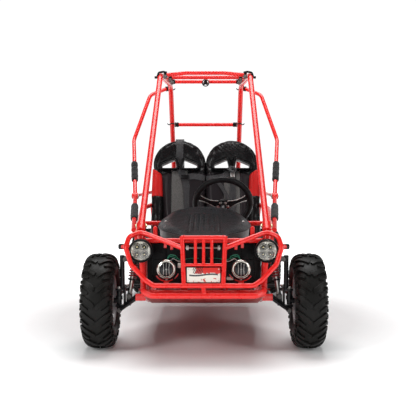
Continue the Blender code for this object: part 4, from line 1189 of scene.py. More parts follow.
def build_tyre(node, body):
    low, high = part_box(node)
    centre = (low + high) / 2
    form = TyreForm(high.x - low.x)
    tyre = Shape(TYRE)
    end = form.reach[-1]
    steps = 34
    section = [-end + 2 * end * i / steps for i in range(steps + 1)]
    rows = []
    for angle in turns(120):
        ring = [centre + form.point(s, angle, form.floor_depth(s)) for s in section]
        bead = [(0.70, 0.1005), (0.55, 0.1005), (0.70, 0.150), (0.60, 0.182), (0.0, 0.188)]
        for share, radius in bead:
            x = share * form.half
            ring.append(centre + Vector((x, -radius * math.cos(angle), radius * math.sin(angle))))
        for share, radius in bead[-2::-1]:
            x = -share * form.half
            ring.append(centre + Vector((x, -radius * math.cos(angle), radius * math.sin(angle))))
        rows.append(ring)
    tyre.skin(rows, ring=True, closed=True)
    pitch = math.tau / PITCHES
    scale = form.half / 0.0675
    arms = (
        ([(0.0035, 0.00), (0.020, 0.20), (0.040, 0.42), (0.058, 0.56), (0.070, 0.60)], 0.0210, 0.0180),
        ([(0.030, 0.78), (0.044, 0.90), (0.060, 1.02), (0.074, 1.06)], 0.0130, 0.0165),
        ([(0.066, 0.30), (0.080, 0.34), (0.094, 0.36)], 0.0150, 0.0190),
        ([(0.082, 0.74), (0.092, 0.76), (0.100, 0.77)], 0.0120, 0.0130),
    )
    for turn in range(PITCHES):
        for side in (-1, 1):
            offset = turn * pitch + (0.0 if side > 0 else 0.10 * pitch)
            for places, start_width, end_width in arms:
                add_lug(tyre, form, centre, places, (start_width, end_width), side, offset, pitch, scale)
    for side in (-1, 1):
        for radius_share in (0.118, 0.134):
            ring = []
            reach = form.reach[-1] - (radius_share - 0.106) * 1.15
            for angle in turns(72):
                ring.append(centre + form.point(side * reach, angle, -0.0002))
            tyre.tube(ring, 0.0009, 6, closed=True)
    tyre.make(node + "_tread", body, "tyre_rubber", [node], 32)


def add_lug(tyre, form, centre, places, widths, side, offset, pitch, scale):
    """One raised bar of the tread along a path of (distance over the skin, share of a pitch)."""
    path = smooth([Vector((s * scale, share * pitch, 0)) for s, share in places], 3)
    rows = []
    for i, place in enumerate(path):
        t = i / (len(path) - 1)
        width = widths[0] + (widths[1] - widths[0]) * t
        before, after = path[max(i - 1, 0)], path[min(i + 1, len(path) - 1)]
        heading = Vector((after.x - before.x, (after.y - before.y) * TYRE_RADIUS, 0)).normalized()
        across_it = Vector((-heading.y, heading.x, 0))
        row = []
        for share, depth in (
            (-0.5, None), (-0.47, 0.0012), (-0.41, 0.0), (0, 0.0), (0.41, 0.0), (0.47, 0.0012), (0.5, None)
        ):
            end_round = 1.0 if 0 < i < len(path) - 1 else 0.86
            shift = across_it * (share * width * end_round)
            s = max(place.x + shift.x, 0.0012)
            angle = place.y + shift.y / TYRE_RADIUS + offset
            ends = 0.0009 if i in (0, len(path) - 1) else 0.0
            deep = form.floor_depth(s) + 0.0008 if depth is None else depth + ends
            row.append(centre + form.point(side * s, angle, deep))
        rows.append(row)
    lines = tyre.skin(rows)
    for row, order in ((lines[0], 1), (lines[-1], -1)):
        tyre.face(row[::order])
    low_a = [line_row[0] for line_row in lines]
    low_b = [line_row[-1] for line_row in lines]
    tyre.face(low_a + low_b[::-1])


def build_rim(node, body, outward, front):
    """Pressed steel wheel: rolled flanges, a dished disc whose round vents are black plugs painted where the
    holes would be dark, four nuts, a hub and a valve.
    """
    wheel_mid = middle(node.replace("rim", "tyre"))
    half = 0.72 * (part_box(node.replace("rim", "tyre"))[1].x - wheel_mid.x) + 0.0045
    axis = X_AXIS * outward
    rim = Shape(CAST)
    barrel = [
        (0.1075, half), (0.1080, half - 0.0012), (0.1078, half - 0.003), (0.1000, half - 0.0042),
        (0.0985, half - 0.010), (0.0885, 0.30 * half), (0.0875, 0.0), (0.0885, -0.30 * half),
        (0.0985, 0.010 - half), (0.1000, 0.0042 - half), (0.1078, 0.003 - half), (0.1080, 0.0012 - half),
        (0.1075, -half), (0.0955, -half + 0.001), (0.0940, 0.012 - half), (0.0845, -0.30 * half),
        (0.0835, 0.0), (0.0845, 0.30 * half), (0.0940, half - 0.012), (0.0955, half - 0.001),
    ]
    rim.turn(barrel, wheel_mid, axis, 80, closed=True)
    disc = [
        (0.0850, 0.016), (0.0800, 0.019), (0.0720, 0.020), (0.0640, 0.017), (0.0560, 0.012), (0.0400, 0.010),
        (0.0300, 0.013), (0.0290, 0.013), (0.0290, 0.006), (0.0400, 0.004), (0.0560, 0.006), (0.0640, 0.011),
        (0.0720, 0.014), (0.0800, 0.013), (0.0850, 0.010),
    ]
    rim.turn(disc, wheel_mid, axis, 80, closed=True)
    inner, outer = (-0.050, 0.044) if front else (-0.060, 0.055)
    bore = 0.0123 if front else 0.0135
    hub = [
        (bore, outer), (0.0225, outer), (0.0245, outer - 0.002), (0.0255, 0.022), (0.0300, 0.014),
        (0.0300, 0.004), (0.0258, -0.006), (0.0250, inner + 0.002), (0.0230, inner), (bore, inner),
    ]
    rim.turn(hub, wheel_mid, axis, 56, closed=True)
    # Each round vent is a black plug set in the disc: painted darkness of a hole, not a hole.
    rim.use(BLACK_PLASTIC)
    for angle in turns(12, 0.5):
        place = wheel_mid + spoke(angle) * 0.0680
        painted_vent_hole = [
            (0, 0.0197), (0.0068, 0.0197), (0.0080, 0.0205), (0.0088, 0.0198), (0.0088, 0.0120), (0, 0.0120)
        ]
        rim.turn(painted_vent_hole, place - axis * 0.0006, axis, 24)
    rim.use(ZINC)
    for angle in turns(4, 0.5):
        rim.bolt(wheel_mid + spoke(angle) * 0.0480 + axis * 0.0105, axis, 0.013)
    rim.use(GRIP_RUBBER)
    valve = wheel_mid + Vector((0, 0, 0.0905)) + axis * (half - 0.016)
    rim.turn(
        [(0, 0.026), (0.0024, 0.026), (0.0028, 0.018), (0.0036, 0.008), (0.0050, 0.0), (0, 0.0)], valve,
        axis, 16
    )
    rim.make(node + "_wheel", body, "cast_alloy", [node], 30)


def build_wheels():
    for label, side in SIDES:
        for end in ("front", "rear"):
            body = "front_wheel_" + label if end == "front" else "axle"
            build_tyre(f"tyre_{end}_{label}", body)
            build_rim(f"rim_{end}_{label}", body, side, end == "front")


# Seats: foam pads that cloth pressure swells, sewn panels, hard bezels and belts

SEAT_UP = Vector((0, math.sin(SEAT_LEAN), math.cos(SEAT_LEAN)))
SEAT_OUT = Vector((0, -math.cos(SEAT_LEAN), math.sin(SEAT_LEAN)))
HEAD_CENTRE = 0.480
HEAD_RADIUS = 0.1435
HEAD_OUTWARD = 0.008
HEAD_INWARD = 0.0055
WAIST = 0.104
SHOULDER = 0.412
PANEL_HALF = 0.047
PANEL_TOP = 0.442
RED_FROM_Z = 0.6185
HARNESS_HOLE = ((0.016, 0.450), (0.100, 0.450), (0.099, 0.470), (0.026, 0.503))
SWELL_FRAMES = 20
SWELL_VOXEL = 0.006
SWELL_PRESSURE = 4.0
SWELL_SMOOTHING = 4
BELT_THICK = 0.0022
RING_SECTION = (
    (0.0, 0.010), (0.0, 0.0420), (0.16, 0.0485), (0.45, 0.0500), (0.75, 0.0485), (0.95, 0.0430),
    (1.0, 0.034), (0.9, 0.020),
)
KNOT = (
    (-0.022, 0.438, 0.048), (-0.008, 0.450, 0.056), (0.012, 0.444, 0.062), (0.016, 0.430, 0.058),
    (0.000, 0.424, 0.066), (-0.012, 0.434, 0.066), (0.002, 0.448, 0.052), (0.024, 0.440, 0.047),
)


def on_back(out, up, front=0.0, side=1):
    """A place on a seat back: out from its middle, up along its lean, and in front of its mid plane."""
    foot = at(side * (SEAT_X + out), SEAT_FOOT[0] + SEAT_THICK / 2, SEAT_FOOT[1])
    return foot + SEAT_UP * up + SEAT_OUT * front


def rounded(corners, radius, steps=5):
    """A closed outline with round corners."""
    ring = []
    count = len(corners)
    for i, corner in enumerate(corners):
        corner = Vector(corner)
        before = (Vector(corners[i - 1]) - corner).normalized()
        after = (Vector(corners[(i + 1) % count]) - corner).normalized()
        for step in range(steps + 1):
            t = step / steps
            ring.append(corner + before * radius * (1 - t) ** 2 + after * radius * t * t)
    return ring


def widened(corners, by):
    """A closed outline whose corners move away from their middle."""
    centre = sum((Vector(corner) for corner in corners), Vector((0, 0))) / len(corners)
    return [Vector(corner) + (Vector(corner) - centre).normalized() * by for corner in corners]


def plate(outline, holes, thickness, stand):
    """A flat closed panel with holes, stood up by a matrix."""
    curve = bpy.data.curves.new("panel", "CURVE")
    curve.dimensions = "2D"
    curve.fill_mode = "BOTH"
    curve.extrude = thickness / 2
    for points in (outline, *holes):
        spline = curve.splines.new("POLY")
        spline.points.add(len(points) - 1)
        spline.use_cyclic_u = True
        for point, place in zip(spline.points, points):
            point.co = (place[0], place[1], 0, 1)
    holder = bpy.data.objects.new("panel", curve)
    bpy.context.scene.collection.objects.link(holder)
    mesh = bpy.data.meshes.new_from_object(holder.evaluated_get(bpy.context.evaluated_depsgraph_get()))
    bpy.data.objects.remove(holder)
    mesh.transform(stand)
    shape = Shape()
    shape.mesh.from_mesh(mesh)
    return shape


def settle(obj, modifier_type, **settings):
    """Adds a modifier with its settings and makes its result the object's mesh."""
    modifier = obj.modifiers.new("shape", modifier_type)
    for key, value in settings.items():
        setattr(modifier, key, value)
    result = bpy.data.meshes.new_from_object(obj.evaluated_get(bpy.context.evaluated_depsgraph_get()))
    obj.modifiers.clear()
    obj.data = result


def swell(shape, name, cap, pinned):
    """Remeshes a closed form and fills it with cloth pressure; pinned says which places are held."""
    pad = shape.make(name)
    settle(pad, "REMESH", mode="VOXEL", voxel_size=SWELL_VOXEL)
    start = [vert.co.copy() for vert in pad.data.vertices]
    held = pad.vertex_groups.new(name="held")
    held.add([i for i, place in enumerate(start) if pinned(place)], 1.0, "REPLACE")
    cloth = pad.modifiers.new("cloth", "CLOTH")
    cloth.settings.use_pressure = True
    cloth.settings.uniform_pressure_force = SWELL_PRESSURE
    cloth.settings.effector_weights.gravity = 0
    cloth.settings.vertex_group_mass = "held"
    cloth.settings.bending_stiffness = 0.5
    scene = bpy.context.scene
    for step in range(1, SWELL_FRAMES + 1):
        scene.frame_set(step)
    swollen = pad.evaluated_get(bpy.context.evaluated_depsgraph_get()).data
    moved = [vert.co.copy() for vert in swollen.vertices]
    pad.modifiers.clear()
    pad.vertex_groups.clear()
    scene.frame_set(1)
    for vert, before, after in zip(pad.data.vertices, start, moved):
        move = after - before
        vert.co = before + move.normalized() * min(move.length, cap)
    mesh = bmesh.new()
    mesh.from_mesh(pad.data)
    for _ in range(SWELL_SMOOTHING):
        bmesh.ops.smooth_vert(
            mesh, verts=mesh.verts, factor=0.5, use_axis_x=True, use_axis_y=True, use_axis_z=True
        )
    mesh.to_mesh(pad.data)
    mesh.free()
    return pad


def directions(pad):
    """The outward direction at each of the mesh's points."""
    return [vert.normal.copy() for vert in pad.data.vertices]


def sew(pad, seams, depth=0.0035, width=0.0055):
    """Pulls the pad in along its seams, on the side that faces forward."""
    pad.data.update()
    points = [point for seam in seams for point in smooth_line(seam, 0.002)]
    tree = KDTree(len(points))
    for i, point in enumerate(points):
        tree.insert(point, i)
    tree.balance()
    for vert, normal in zip(pad.data.vertices, directions(pad)):
        if normal.dot(SEAT_OUT) > 0.25 or normal.z > 0.25:
            gap = tree.find(vert.co)[2]
            vert.co -= normal * depth * math.exp(-(gap / width) ** 2)


def tree_of(pad):
    mesh = bmesh.new()
    mesh.from_mesh(pad.data)
    tree = BVHTree.FromBMesh(mesh)
    mesh.free()
    return tree


def laid(tree, points, lift=0.0, toward=-SEAT_OUT):
    """Drops points onto a pad from in front of it, and gives each place and its outward direction."""
    places, outs = [], []
    for point in points:
        hit, normal, _, _ = tree.ray_cast(point - toward * 0.2, toward)
        if hit is None:
            hit, normal, _, _ = tree.find_nearest(point)
        if normal.dot(toward) > 0:
            normal = -normal
        places.append(hit + normal * lift)
        outs.append(normal)
    return places, outs


def upholster(pad, surfaces, chosen):
    """One subdivision, then a finish for each face from where it lies."""
    settle(pad, "SUBSURF", levels=1)
    pad.data.materials.clear()
    for surface in surfaces:
        pad.data.materials.append(surface)
    for face in pad.data.polygons:
        face.material_index = chosen(face.center)
    pad.data.shade_smooth()


def fit(pad):
    """Puts a padded piece on the frame."""
    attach(pad, "frame")


def mirrored(pad, name):
    copy = bpy.data.objects.new(name, pad.data.copy())
    copy.data.transform(Matrix.Diagonal((-1, 1, 1, 1)))
    copy.data.flip_normals()
    bpy.context.scene.collection.objects.link(copy)
    return copy


def back_local(place):
    """Where a place of the driver's seat lies on its back: (out, up, front)."""
    rel = place - on_back(0, 0)
    return rel.x, rel.dot(SEAT_UP), rel.dot(SEAT_OUT)


def back_outline():
    arc = []
    for step in range(29):
        angle = math.radians(-24 + 204 * step / 28)
        reach = HEAD_RADIUS + (HEAD_OUTWARD if math.cos(angle) > 0 else HEAD_INWARD)
        arc.append((reach * math.cos(angle), HEAD_CENTRE + HEAD_RADIUS * math.sin(angle)))
    return [(WAIST, 0.012), (WAIST, SHOULDER - 0.01), *arc, (-HEAD_RADIUS - HEAD_INWARD, 0.012)]


def harness_holes(grow=0.0):
    left = widened(HARNESS_HOLE, grow)
    right = [Vector((-corner[0], corner[1])) for corner in reversed(left)]
    return [rounded(left, 0.010), rounded(right, 0.010)]


def back_seams():
    """The seams of the driver's seat back in its mid plane."""
    panel = [on_back(-PANEL_HALF, 0.03), on_back(-PANEL_HALF, PANEL_TOP - 0.004)]
    panel += [on_back(PANEL_HALF, PANEL_TOP - 0.004), on_back(PANEL_HALF, 0.03)]
    head = [on_back(-0.118, 0.414), on_back(-PANEL_HALF - 0.004, 0.430)]
    other = [on_back(0.118, 0.414), on_back(PANEL_HALF + 0.004, 0.430)]
    edge = []
    for step in range(25):
        angle = math.radians(-12 + 204 * step / 24)
        rim = HEAD_RADIUS - 0.013
        edge.append(on_back(rim * math.cos(angle), HEAD_CENTRE + rim * math.sin(angle)))
    return [bend(panel, 0.012, 5), head, other, edge]


def fold(place, out, up):
    """How far the loose cover of the driver's head rest stands up in creases."""
    share = ease(up, 0.50, 0.56) * (1 - ease(up, 0.588, 0.612)) * (1 - ease(abs(out - 0.005), 0.05, 0.10))
    ridge = math.sin(out * 260 + up * 330 + 2.2 * noise.noise(place * 17))
    return share * 0.0042 * max(ridge, 0) ** 1.5


def build_seat_back():
    stand = Matrix.Translation(on_back(0, 0)) @ Matrix.Rotation(math.pi / 2 - SEAT_LEAN, 4, "X")
    shape = plate(back_outline(), harness_holes(0.009), SEAT_THICK - 0.014, stand)

    def held(place):
        return back_local(place)[2] < -0.014

    pad = swell(shape, "seat_back_left", 0.010, held)
    tree = tree_of(pad)
    sew(pad, [laid(tree, smooth_line(seam, 0.012))[0] for seam in back_seams()])

    def panel(place):
        out, up, front = back_local(place)
        if front < 0.004 or up > SHOULDER + 0.022 + 0.16 * (abs(out) < PANEL_HALF):
            return 0
        if abs(out) < PANEL_HALF and up < PANEL_TOP:
            return 1
        return 2 if up < 0.422 else 0

    upholster(pad, (VINYL, GREY_CLOTH, SIDE_VINYL), panel)
    other = mirrored(pad, "seat_back_right")
    for vert, normal in zip(pad.data.vertices, directions(pad)):
        out, up, _ = back_local(vert.co)
        if normal.dot(SEAT_OUT) > 0.1:
            vert.co += normal * fold(vert.co, out, up)
    for obj in (pad, other):
        fit(obj)
    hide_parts("seat_left")
    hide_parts("seat_right")
    return pad, other


def smooth_line(points, step):
    """The same path with points at about equal steps."""
    path = []
    for a, b in zip(points, points[1:]):
        parts = max(1, round((b - a).length / step))
        path += [a.lerp(b, i / parts) for i in range(parts)]
    return path + [points[-1]]


def wing_form(out, ups, fronts, slant):
    """A bolster beside a seat back: rings of a rounded block that rise along the back."""
    shape = Shape()
    rows = []
    for i in range(13):
        t = i / 12
        up = ups[0] + (ups[1] - ups[0]) * t
        front = fronts[1] - (fronts[1] - fronts[2]) * ease(t, 0.45, 1.0) - 0.020 * (1 - ease(t, 0.0, 0.12))
        narrow = 0.006 * ease(t, 0.25, 0.45) * (1 - ease(t, 0.50, 0.70))
        block = [
            (out[0], fronts[0]), (out[0], front - 0.006), (out[0] + 0.014, front), (out[1] - 0.016, front)
        ]
        block += [(out[1] - narrow, front - 0.022), (out[1] - narrow, fronts[0] + 0.004)]
        ring = rounded(block, 0.005, 2)
        lift = slant * t ** 6
        rows.append(
            [on_back(x, up + lift * (x - out[0]) / (out[1] - out[0]), front_it) for x, front_it in ring]
        )
    shape.loft(rows)
    return shape


def build_wings():
    """The outer bolsters, red above and black below."""
    shape = wing_form((0.099, 0.154), (0.020, 0.418), (-0.022, 0.056, 0.034), 0.040)
    pad = swell(shape, "seat_wing_left", 0.007, lambda place: back_local(place)[2] < -0.012)
    parting = (RED_FROM_Z - SEAT_FOOT[1]) / math.cos(SEAT_LEAN) - 0.008
    seam = smooth_line([on_back(0.094, parting, 0.06), on_back(0.164, parting, 0.06)], 0.006)
    sew(pad, [laid(tree_of(pad), seam)[0]], 0.003, 0.005)
    upholster(pad, (VINYL, RED_VINYL), lambda place: 1 if back_local(place)[1] > parting else 0)
    for obj in (pad, mirrored(pad, "seat_wing_right")):
        fit(obj)


def build_seat_cushion():
    """The seat's bottom: a crowned middle and two thigh bolsters, sewn in channels."""
    middle_x = SEAT_X
    base = Shape()
    base.box(at(middle_x - 0.098, 0.562, 0.250), at(middle_x + 0.098, 0.905, 0.322), 0.014)

    def low(place):
        return place.z < 0.272

    pad = swell(base, "seat_cushion_left", 0.013, low)
    channels = [line([(middle_x - 0.092, s, 0.33), (middle_x + 0.092, s, 0.33)]) for s in (0.665, 0.760)]
    tree = tree_of(pad)
    sewn = [laid(tree, smooth_line(path, 0.012), 0.0, -Z_AXIS)[0] for path in channels]
    sew(pad, sewn, 0.005, 0.007)

    def panel(place):
        return 1 if place.z > 0.318 and abs(place.x - middle_x) < 0.082 else 0

    upholster(pad, (VINYL, GREY_CLOTH), panel)
    pads = [(pad, "seat_cushion_right")]
    for kind, x_range in (("outer", (0.101, 0.137)), ("inner", (-0.137, -0.101))):
        side_form = Shape()
        side_form.box(at(middle_x + x_range[0], 0.575, 0.262), at(middle_x + x_range[1], 0.915, 0.372), 0.012)
        bolster = swell(side_form, "seat_thigh_" + kind + "_left", 0.008, low)
        upholster(bolster, (VINYL,), lambda place: 0)
        pads.append((bolster, "seat_thigh_" + kind + "_right"))
    for obj, other_name in pads:
        for each in (obj, mirrored(obj, other_name)):
            fit(each)


def build_seat_trim(backs):
    """Piping over the seams and the hard rings of the harness holes."""
    for label, side, pad in (("left", 1, backs[0]), ("right", -1, backs[1])):
        tree = tree_of(pad)
        trim = Shape(VINYL)
        flip = Matrix.Diagonal((side, 1, 1))
        for seam in back_seams():
            path = [flip @ point for point in smooth_line(seam, 0.010)]
            trim.tube(laid(tree, path, 0.0006)[0], 0.0021, 8)
        trim.use(BLACK_PLASTIC)
        for hole in harness_holes(0.0):
            inner, outer = [], []
            centre = sum(hole, Vector((0, 0))) / len(hole)
            for corner in hole:
                away = (corner - centre).normalized()
                inner.append(corner - away * 0.001)
                outer.append(corner + away * 0.016)
            rows = []
            for t, front in RING_SECTION:
                mixed = [a.lerp(b, t) for a, b in zip(inner, outer)]
                rows.append([on_back(point.x, point.y, front, side) for point in mixed])
            trim.skin(rows, ring=True, closed=True)
        trim.make("seat_trim_" + label, "frame", "seat_vinyl")


def strap(shape, places, outs, width):
    """A flat belt along places with a given outward direction at each."""
    rows = []
    last = len(places) - 1
    for i, (place, out) in enumerate(zip(places, outs)):
        heading = (places[min(i + 1, last)] - places[max(i - 1, 0)]).normalized()
        aside = heading.cross(out).normalized()
        up = aside.cross(heading).normalized()
        half, rim = width / 2, BELT_THICK / 2
        section = (
            (-half, 0), (-half + rim, rim), (half - rim, rim), (half, 0), (half - rim, -rim),
            (-half + rim, -rim)
        )
        rows.append([place + aside * x + up * y for x, y in section])
    shape.loft(rows)


def belt_on(shape, tree, side, route, width, lift=0.0028):
    """A belt that lies on a seat back along (out, up) points, smoothed."""
    path = smooth([on_back(out, up, 0.03, side) for out, up in route], 6)
    places, outs = laid(tree, path, lift)
    for _ in range(3):
        outs = [
            (a + b * 2 + c).normalized() for a, b, c in zip([outs[0]] + outs, outs, outs[1:] + [outs[-1]])
        ]
        places = [places[0]] + [
            (a + b * 2 + c) / 4 for a, b, c in zip(places, places[1:], places[2:])
        ] + [places[-1]]
    strap(shape, places, outs, width)


def over_top(shape, side, out, width):
    """The belt's run over the top of a head rest and down its back to the frame."""
    top = HEAD_CENTRE + HEAD_RADIUS
    arc = [(top - 0.034, 0.0350), (top - 0.010, 0.027), (top + 0.0040, 0.008), (top + 0.0040, -0.012)]
    arc += [(top - 0.006, -0.034), (top - 0.060, -0.042), (top - 0.160, -0.046), (top - 0.250, -0.060)]
    path = smooth([on_back(out, up, front, side) for up, front in arc], 6)
    across_it = X_AXIS * side
    outs = []
    last = len(path) - 1
    for i in range(len(path)):
        heading = (path[min(i + 1, last)] - path[max(i - 1, 0)]).normalized()
        outs.append(across_it.cross(heading).normalized() * side)
    if outs[0].dot(SEAT_OUT) < 0:
        outs = [-direction for direction in outs]
    strap(shape, path, outs, width)


def build_belts(backs):
    """Lap and shoulder webbing: over the passenger's head rest and down, knotted on the driver's side."""
    trees = {1: tree_of(backs[0]), -1: tree_of(backs[1])}
    belts = Shape(BELT)
    over_top(belts, -1, 0.000, 0.048)
    route = (
        (0.000, 0.596), (0.000, 0.520), (-0.002, 0.450), (-0.022, 0.400), (-0.040, 0.330), (-0.044, 0.200),
        (-0.046, 0.060)
    )
    belt_on(belts, trees[-1], -1, route, 0.040)
    route = ((-0.030, 0.395), (-0.070, 0.402), (-0.110, 0.398), (-0.138, 0.392))
    belt_on(belts, trees[-1], -1, route, 0.034, 0.0060)
    route = ((-0.138, 0.390), (-0.095, 0.392), (-0.050, 0.404), (0.000, 0.428))
    belt_on(belts, trees[1], 1, route, 0.030, 0.0060)
    for start, end, width in (
        ((0.004, 0.436), (-0.006, 0.200), 0.022), ((0.010, 0.436), (0.014, 0.200), 0.020)
    ):
        belt_on(belts, trees[1], 1, (start, ((start[0] + end[0]) / 2, 0.32), end), width, 0.0050)
    belt_on(belts, trees[1], 1, ((-0.080, 0.372), (-0.044, 0.320), (-0.006, 0.250)), 0.022, 0.0080)
    knot = smooth([on_back(out, up, front) for out, up, front in KNOT], 8)
    belts.tube(knot, 0.0085, 12, flat=0.6)
    belts.make("seat_belts", "frame", "seat_vinyl")

    buckles = Shape(BLACK_PLASTIC)
    turn = Matrix.Rotation(-SEAT_LEAN, 3, "X")
    for side, out, up in ((1, 0.004, 0.437), (-1, -0.030, 0.398)):
        place = on_back(out, up, 0.046, side)
        buckles.box(place - Vector((0.022, 0.005, 0.013)), place + Vector((0.022, 0.005, 0.013)), 0.003, turn)
    buckles.use(STEEL)
    for side, out, up in ((1, 0.004, 0.412), (-1, -0.046, 0.060)):
        place = on_back(out, up, 0.046, side)
        buckles.box(
            place - Vector((0.012, 0.0012, 0.016)), place + Vector((0.012, 0.0012, 0.016)), 0.0008, turn
        )
    buckles.make("belt_buckles", "frame", "black_moulding")


# Steering and pedals

RIM_RADIUS = 0.139
RIM_TUBE = 0.0155
SHAFT_LENGTH = 0.543
SPOKE_ANGLES = (90, 197, 343)


def column_frame():
    return Matrix.Translation(at(*WHEEL_CENTRE)) @ Matrix.Rotation(COLUMN_ANGLE - math.pi / 2, 4, "X")


def build_steering_wheel():
    """A three-spoke wheel: moulded rim with finger grips behind, gull-wing spokes with bright edges."""
    wheel = Shape(BLACK_PLASTIC)
    rim, sizes = [], []
    for angle in turns(144):
        rim.append(Vector((RIM_RADIUS * math.cos(angle), RIM_RADIUS * math.sin(angle), 0)))
        sizes.append(RIM_TUBE + 0.0005 * math.sin(angle * 36))
    wheel.tube(rim, sizes, 24, closed=True)
    for degrees in SPOKE_ANGLES:
        turn = math.radians(degrees)
        reach = Vector((math.cos(turn), math.sin(turn), 0))
        aside = Vector((-reach.y, reach.x, 0))
        path = smooth([
            reach * 0.022 - Z_AXIS * 0.020, reach * 0.055 - Z_AXIS * 0.021, reach * 0.095 - Z_AXIS * 0.012,
            reach * 0.130 - Z_AXIS * 0.002,
        ], 8)
        shares = [i / (len(path) - 1) for i in range(len(path))]
        wide = [0.020 - 0.009 * ease(share, 0.0, 0.55) + 0.006 * ease(share, 0.7, 1) for share in shares]
        wheel.use(BLACK_PLASTIC)
        wheel.tube(path, wide, 20, flat=0.28, guide=aside)
        wheel.use(STEEL)
        for edge in (-1, 1):
            rail = [
                point + aside * edge * size - Z_AXIS * 0.0035 for point, size in zip(path[2:-2], wide[2:-2])
            ]
            wheel.tube(rail, 0.0022, 8)
        wheel.use(BLACK_PLASTIC)
        for distance in (0.062, 0.082):
            wheel.turn(
                [(0, 0.0), (0.0055, 0.0), (0.0060, -0.0012), (0, -0.0012)],
                reach * distance - Z_AXIS * 0.023, Z_AXIS, 16
            )
    hub = [
        (0, -0.004), (0.026, -0.005), (0.033, -0.009), (0.036, -0.014), (0.036, -0.028), (0.033, -0.033),
        (0.024, -0.034), (0, -0.034),
    ]
    wheel.turn(hub, Vector((0, 0, 0)), Z_AXIS, 48)
    wheel.use(STEEL)
    for angle in turns(6):
        wheel.bolt(Vector((0.024 * math.cos(angle), 0.024 * math.sin(angle), -0.0335)), -Z_AXIS, 0.007)
    wheel.move(column_frame())
    wheel.make("steering_wheel_moulding", "steering", "black_moulding", ["steering_wheel"])

    shaft = Shape(BLACK_COAT)
    shaft.turn([
        (0, -0.0345), (0.0180, -0.0345), (0.0180, -0.073), (0.0165, -0.075), (0.0105, -0.076),
        (0.0105, -0.470), (0.0145, -0.472), (0.0145, -0.505), (0.0105, -0.507), (0.0105, -SHAFT_LENGTH),
        (0, -SHAFT_LENGTH),
    ], Vector((0, 0, 0)), Z_AXIS, 28)
    shaft.use(STEEL)
    for depth in (0.055, 0.488):
        shaft.bolt(Vector((0, 0.0165, -depth)), Y_AXIS, 0.009)
    shaft.move(column_frame())
    shaft.make("steering_column", "steering", "black_steel", ["steering_shaft"])

    low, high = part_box("steering_rack")
    rack = Shape(STEEL)
    rack.box(low, high, 0.0015)
    rack.make("steering_rack_bar", "rack", "bright_steel", ["steering_rack"])


def build_pedals():
    """Two hung pedals: a ribbed pad on a round arm, and a sleeve."""
    for node, body in (("throttle_pedal", "throttle"), ("brake_pedal", "brake")):
        x = middle(node).x
        axis = at(x, -0.020, 0.226)
        pedal = Shape(CAST)
        pedal.rod((0, 0, 0.013), (0, 0, 0.135), 0.006)
        pedal.box((-0.031, 0.002, 0.0675), (0.031, 0.010, 0.1625), 0.0022)
        for step in range(9):
            z = 0.0745 + 0.0101 * step
            pedal.box((-0.028, 0.0095, z - 0.0022), (0.028, 0.0122, z + 0.0022), 0.0008)
        for corner in (-1, 1):
            pedal.box(
                (corner * 0.0295 - 0.0015, 0.0095, 0.070), (corner * 0.0295 + 0.0015, 0.0125, 0.160), 0.0006
            )
        pedal.use(STEEL)
        for z in (0.088, 0.142):
            pedal.bolt(Vector((0, 0.0125, z)), Y_AXIS, 0.008)
        pedal.move(Matrix.Translation(axis) @ Matrix.Rotation(math.radians(20), 4, "X"))
        pedal.use(CAST)
        ring = [
            (0.0160, 0.015), (0.0152, 0.016), (0.0109, 0.016), (0.0109, -0.016), (0.0152, -0.016),
            (0.0160, -0.015)
        ]
        pedal.turn(ring, axis, X_AXIS, 32, closed=True)
        pedal.make(node + "_casting", body, "cast_alloy", [node])


# Front suspension

LOWER_INNER = (0.2775, 0.228)
LOWER_OUTER = (0.3620, 0.165)
UPPER_OUTER = (0.3320, 0.382)
UPPER_INNER = tuple(top + foot - end for top, foot, end in zip(UPPER_OUTER, LOWER_INNER, LOWER_OUTER))
SHOCK_TOP = (0.285, 0.452)
SHOCK_FOOT = (0.322, 0.222)
TIE_ROD_OUTER = (0.346, 0.118, 0.250)
TIE_ROD_INNER = (0.180, 0.118, 0.250)


def eye(shape, place, half, radius, surface, bush=IRON):
    """A sleeve across a fork, with a rubber bush and a steel tube in it."""
    shape.use(surface)
    wall = radius - 0.0022
    ring = [
        (radius, -half + 0.0006), (radius - 0.0006, -half), (wall, -half), (wall, half),
        (radius - 0.0006, half), (radius, half - 0.0006)
    ]
    shape.turn(ring, place, Y_AXIS, 28, closed=True)
    shape.use(bush)
    shape.turn(
        [(0, half - 0.001), (wall, half - 0.001), (wall, -half + 0.001), (0, -half + 0.001)], place, Y_AXIS,
        28
    )


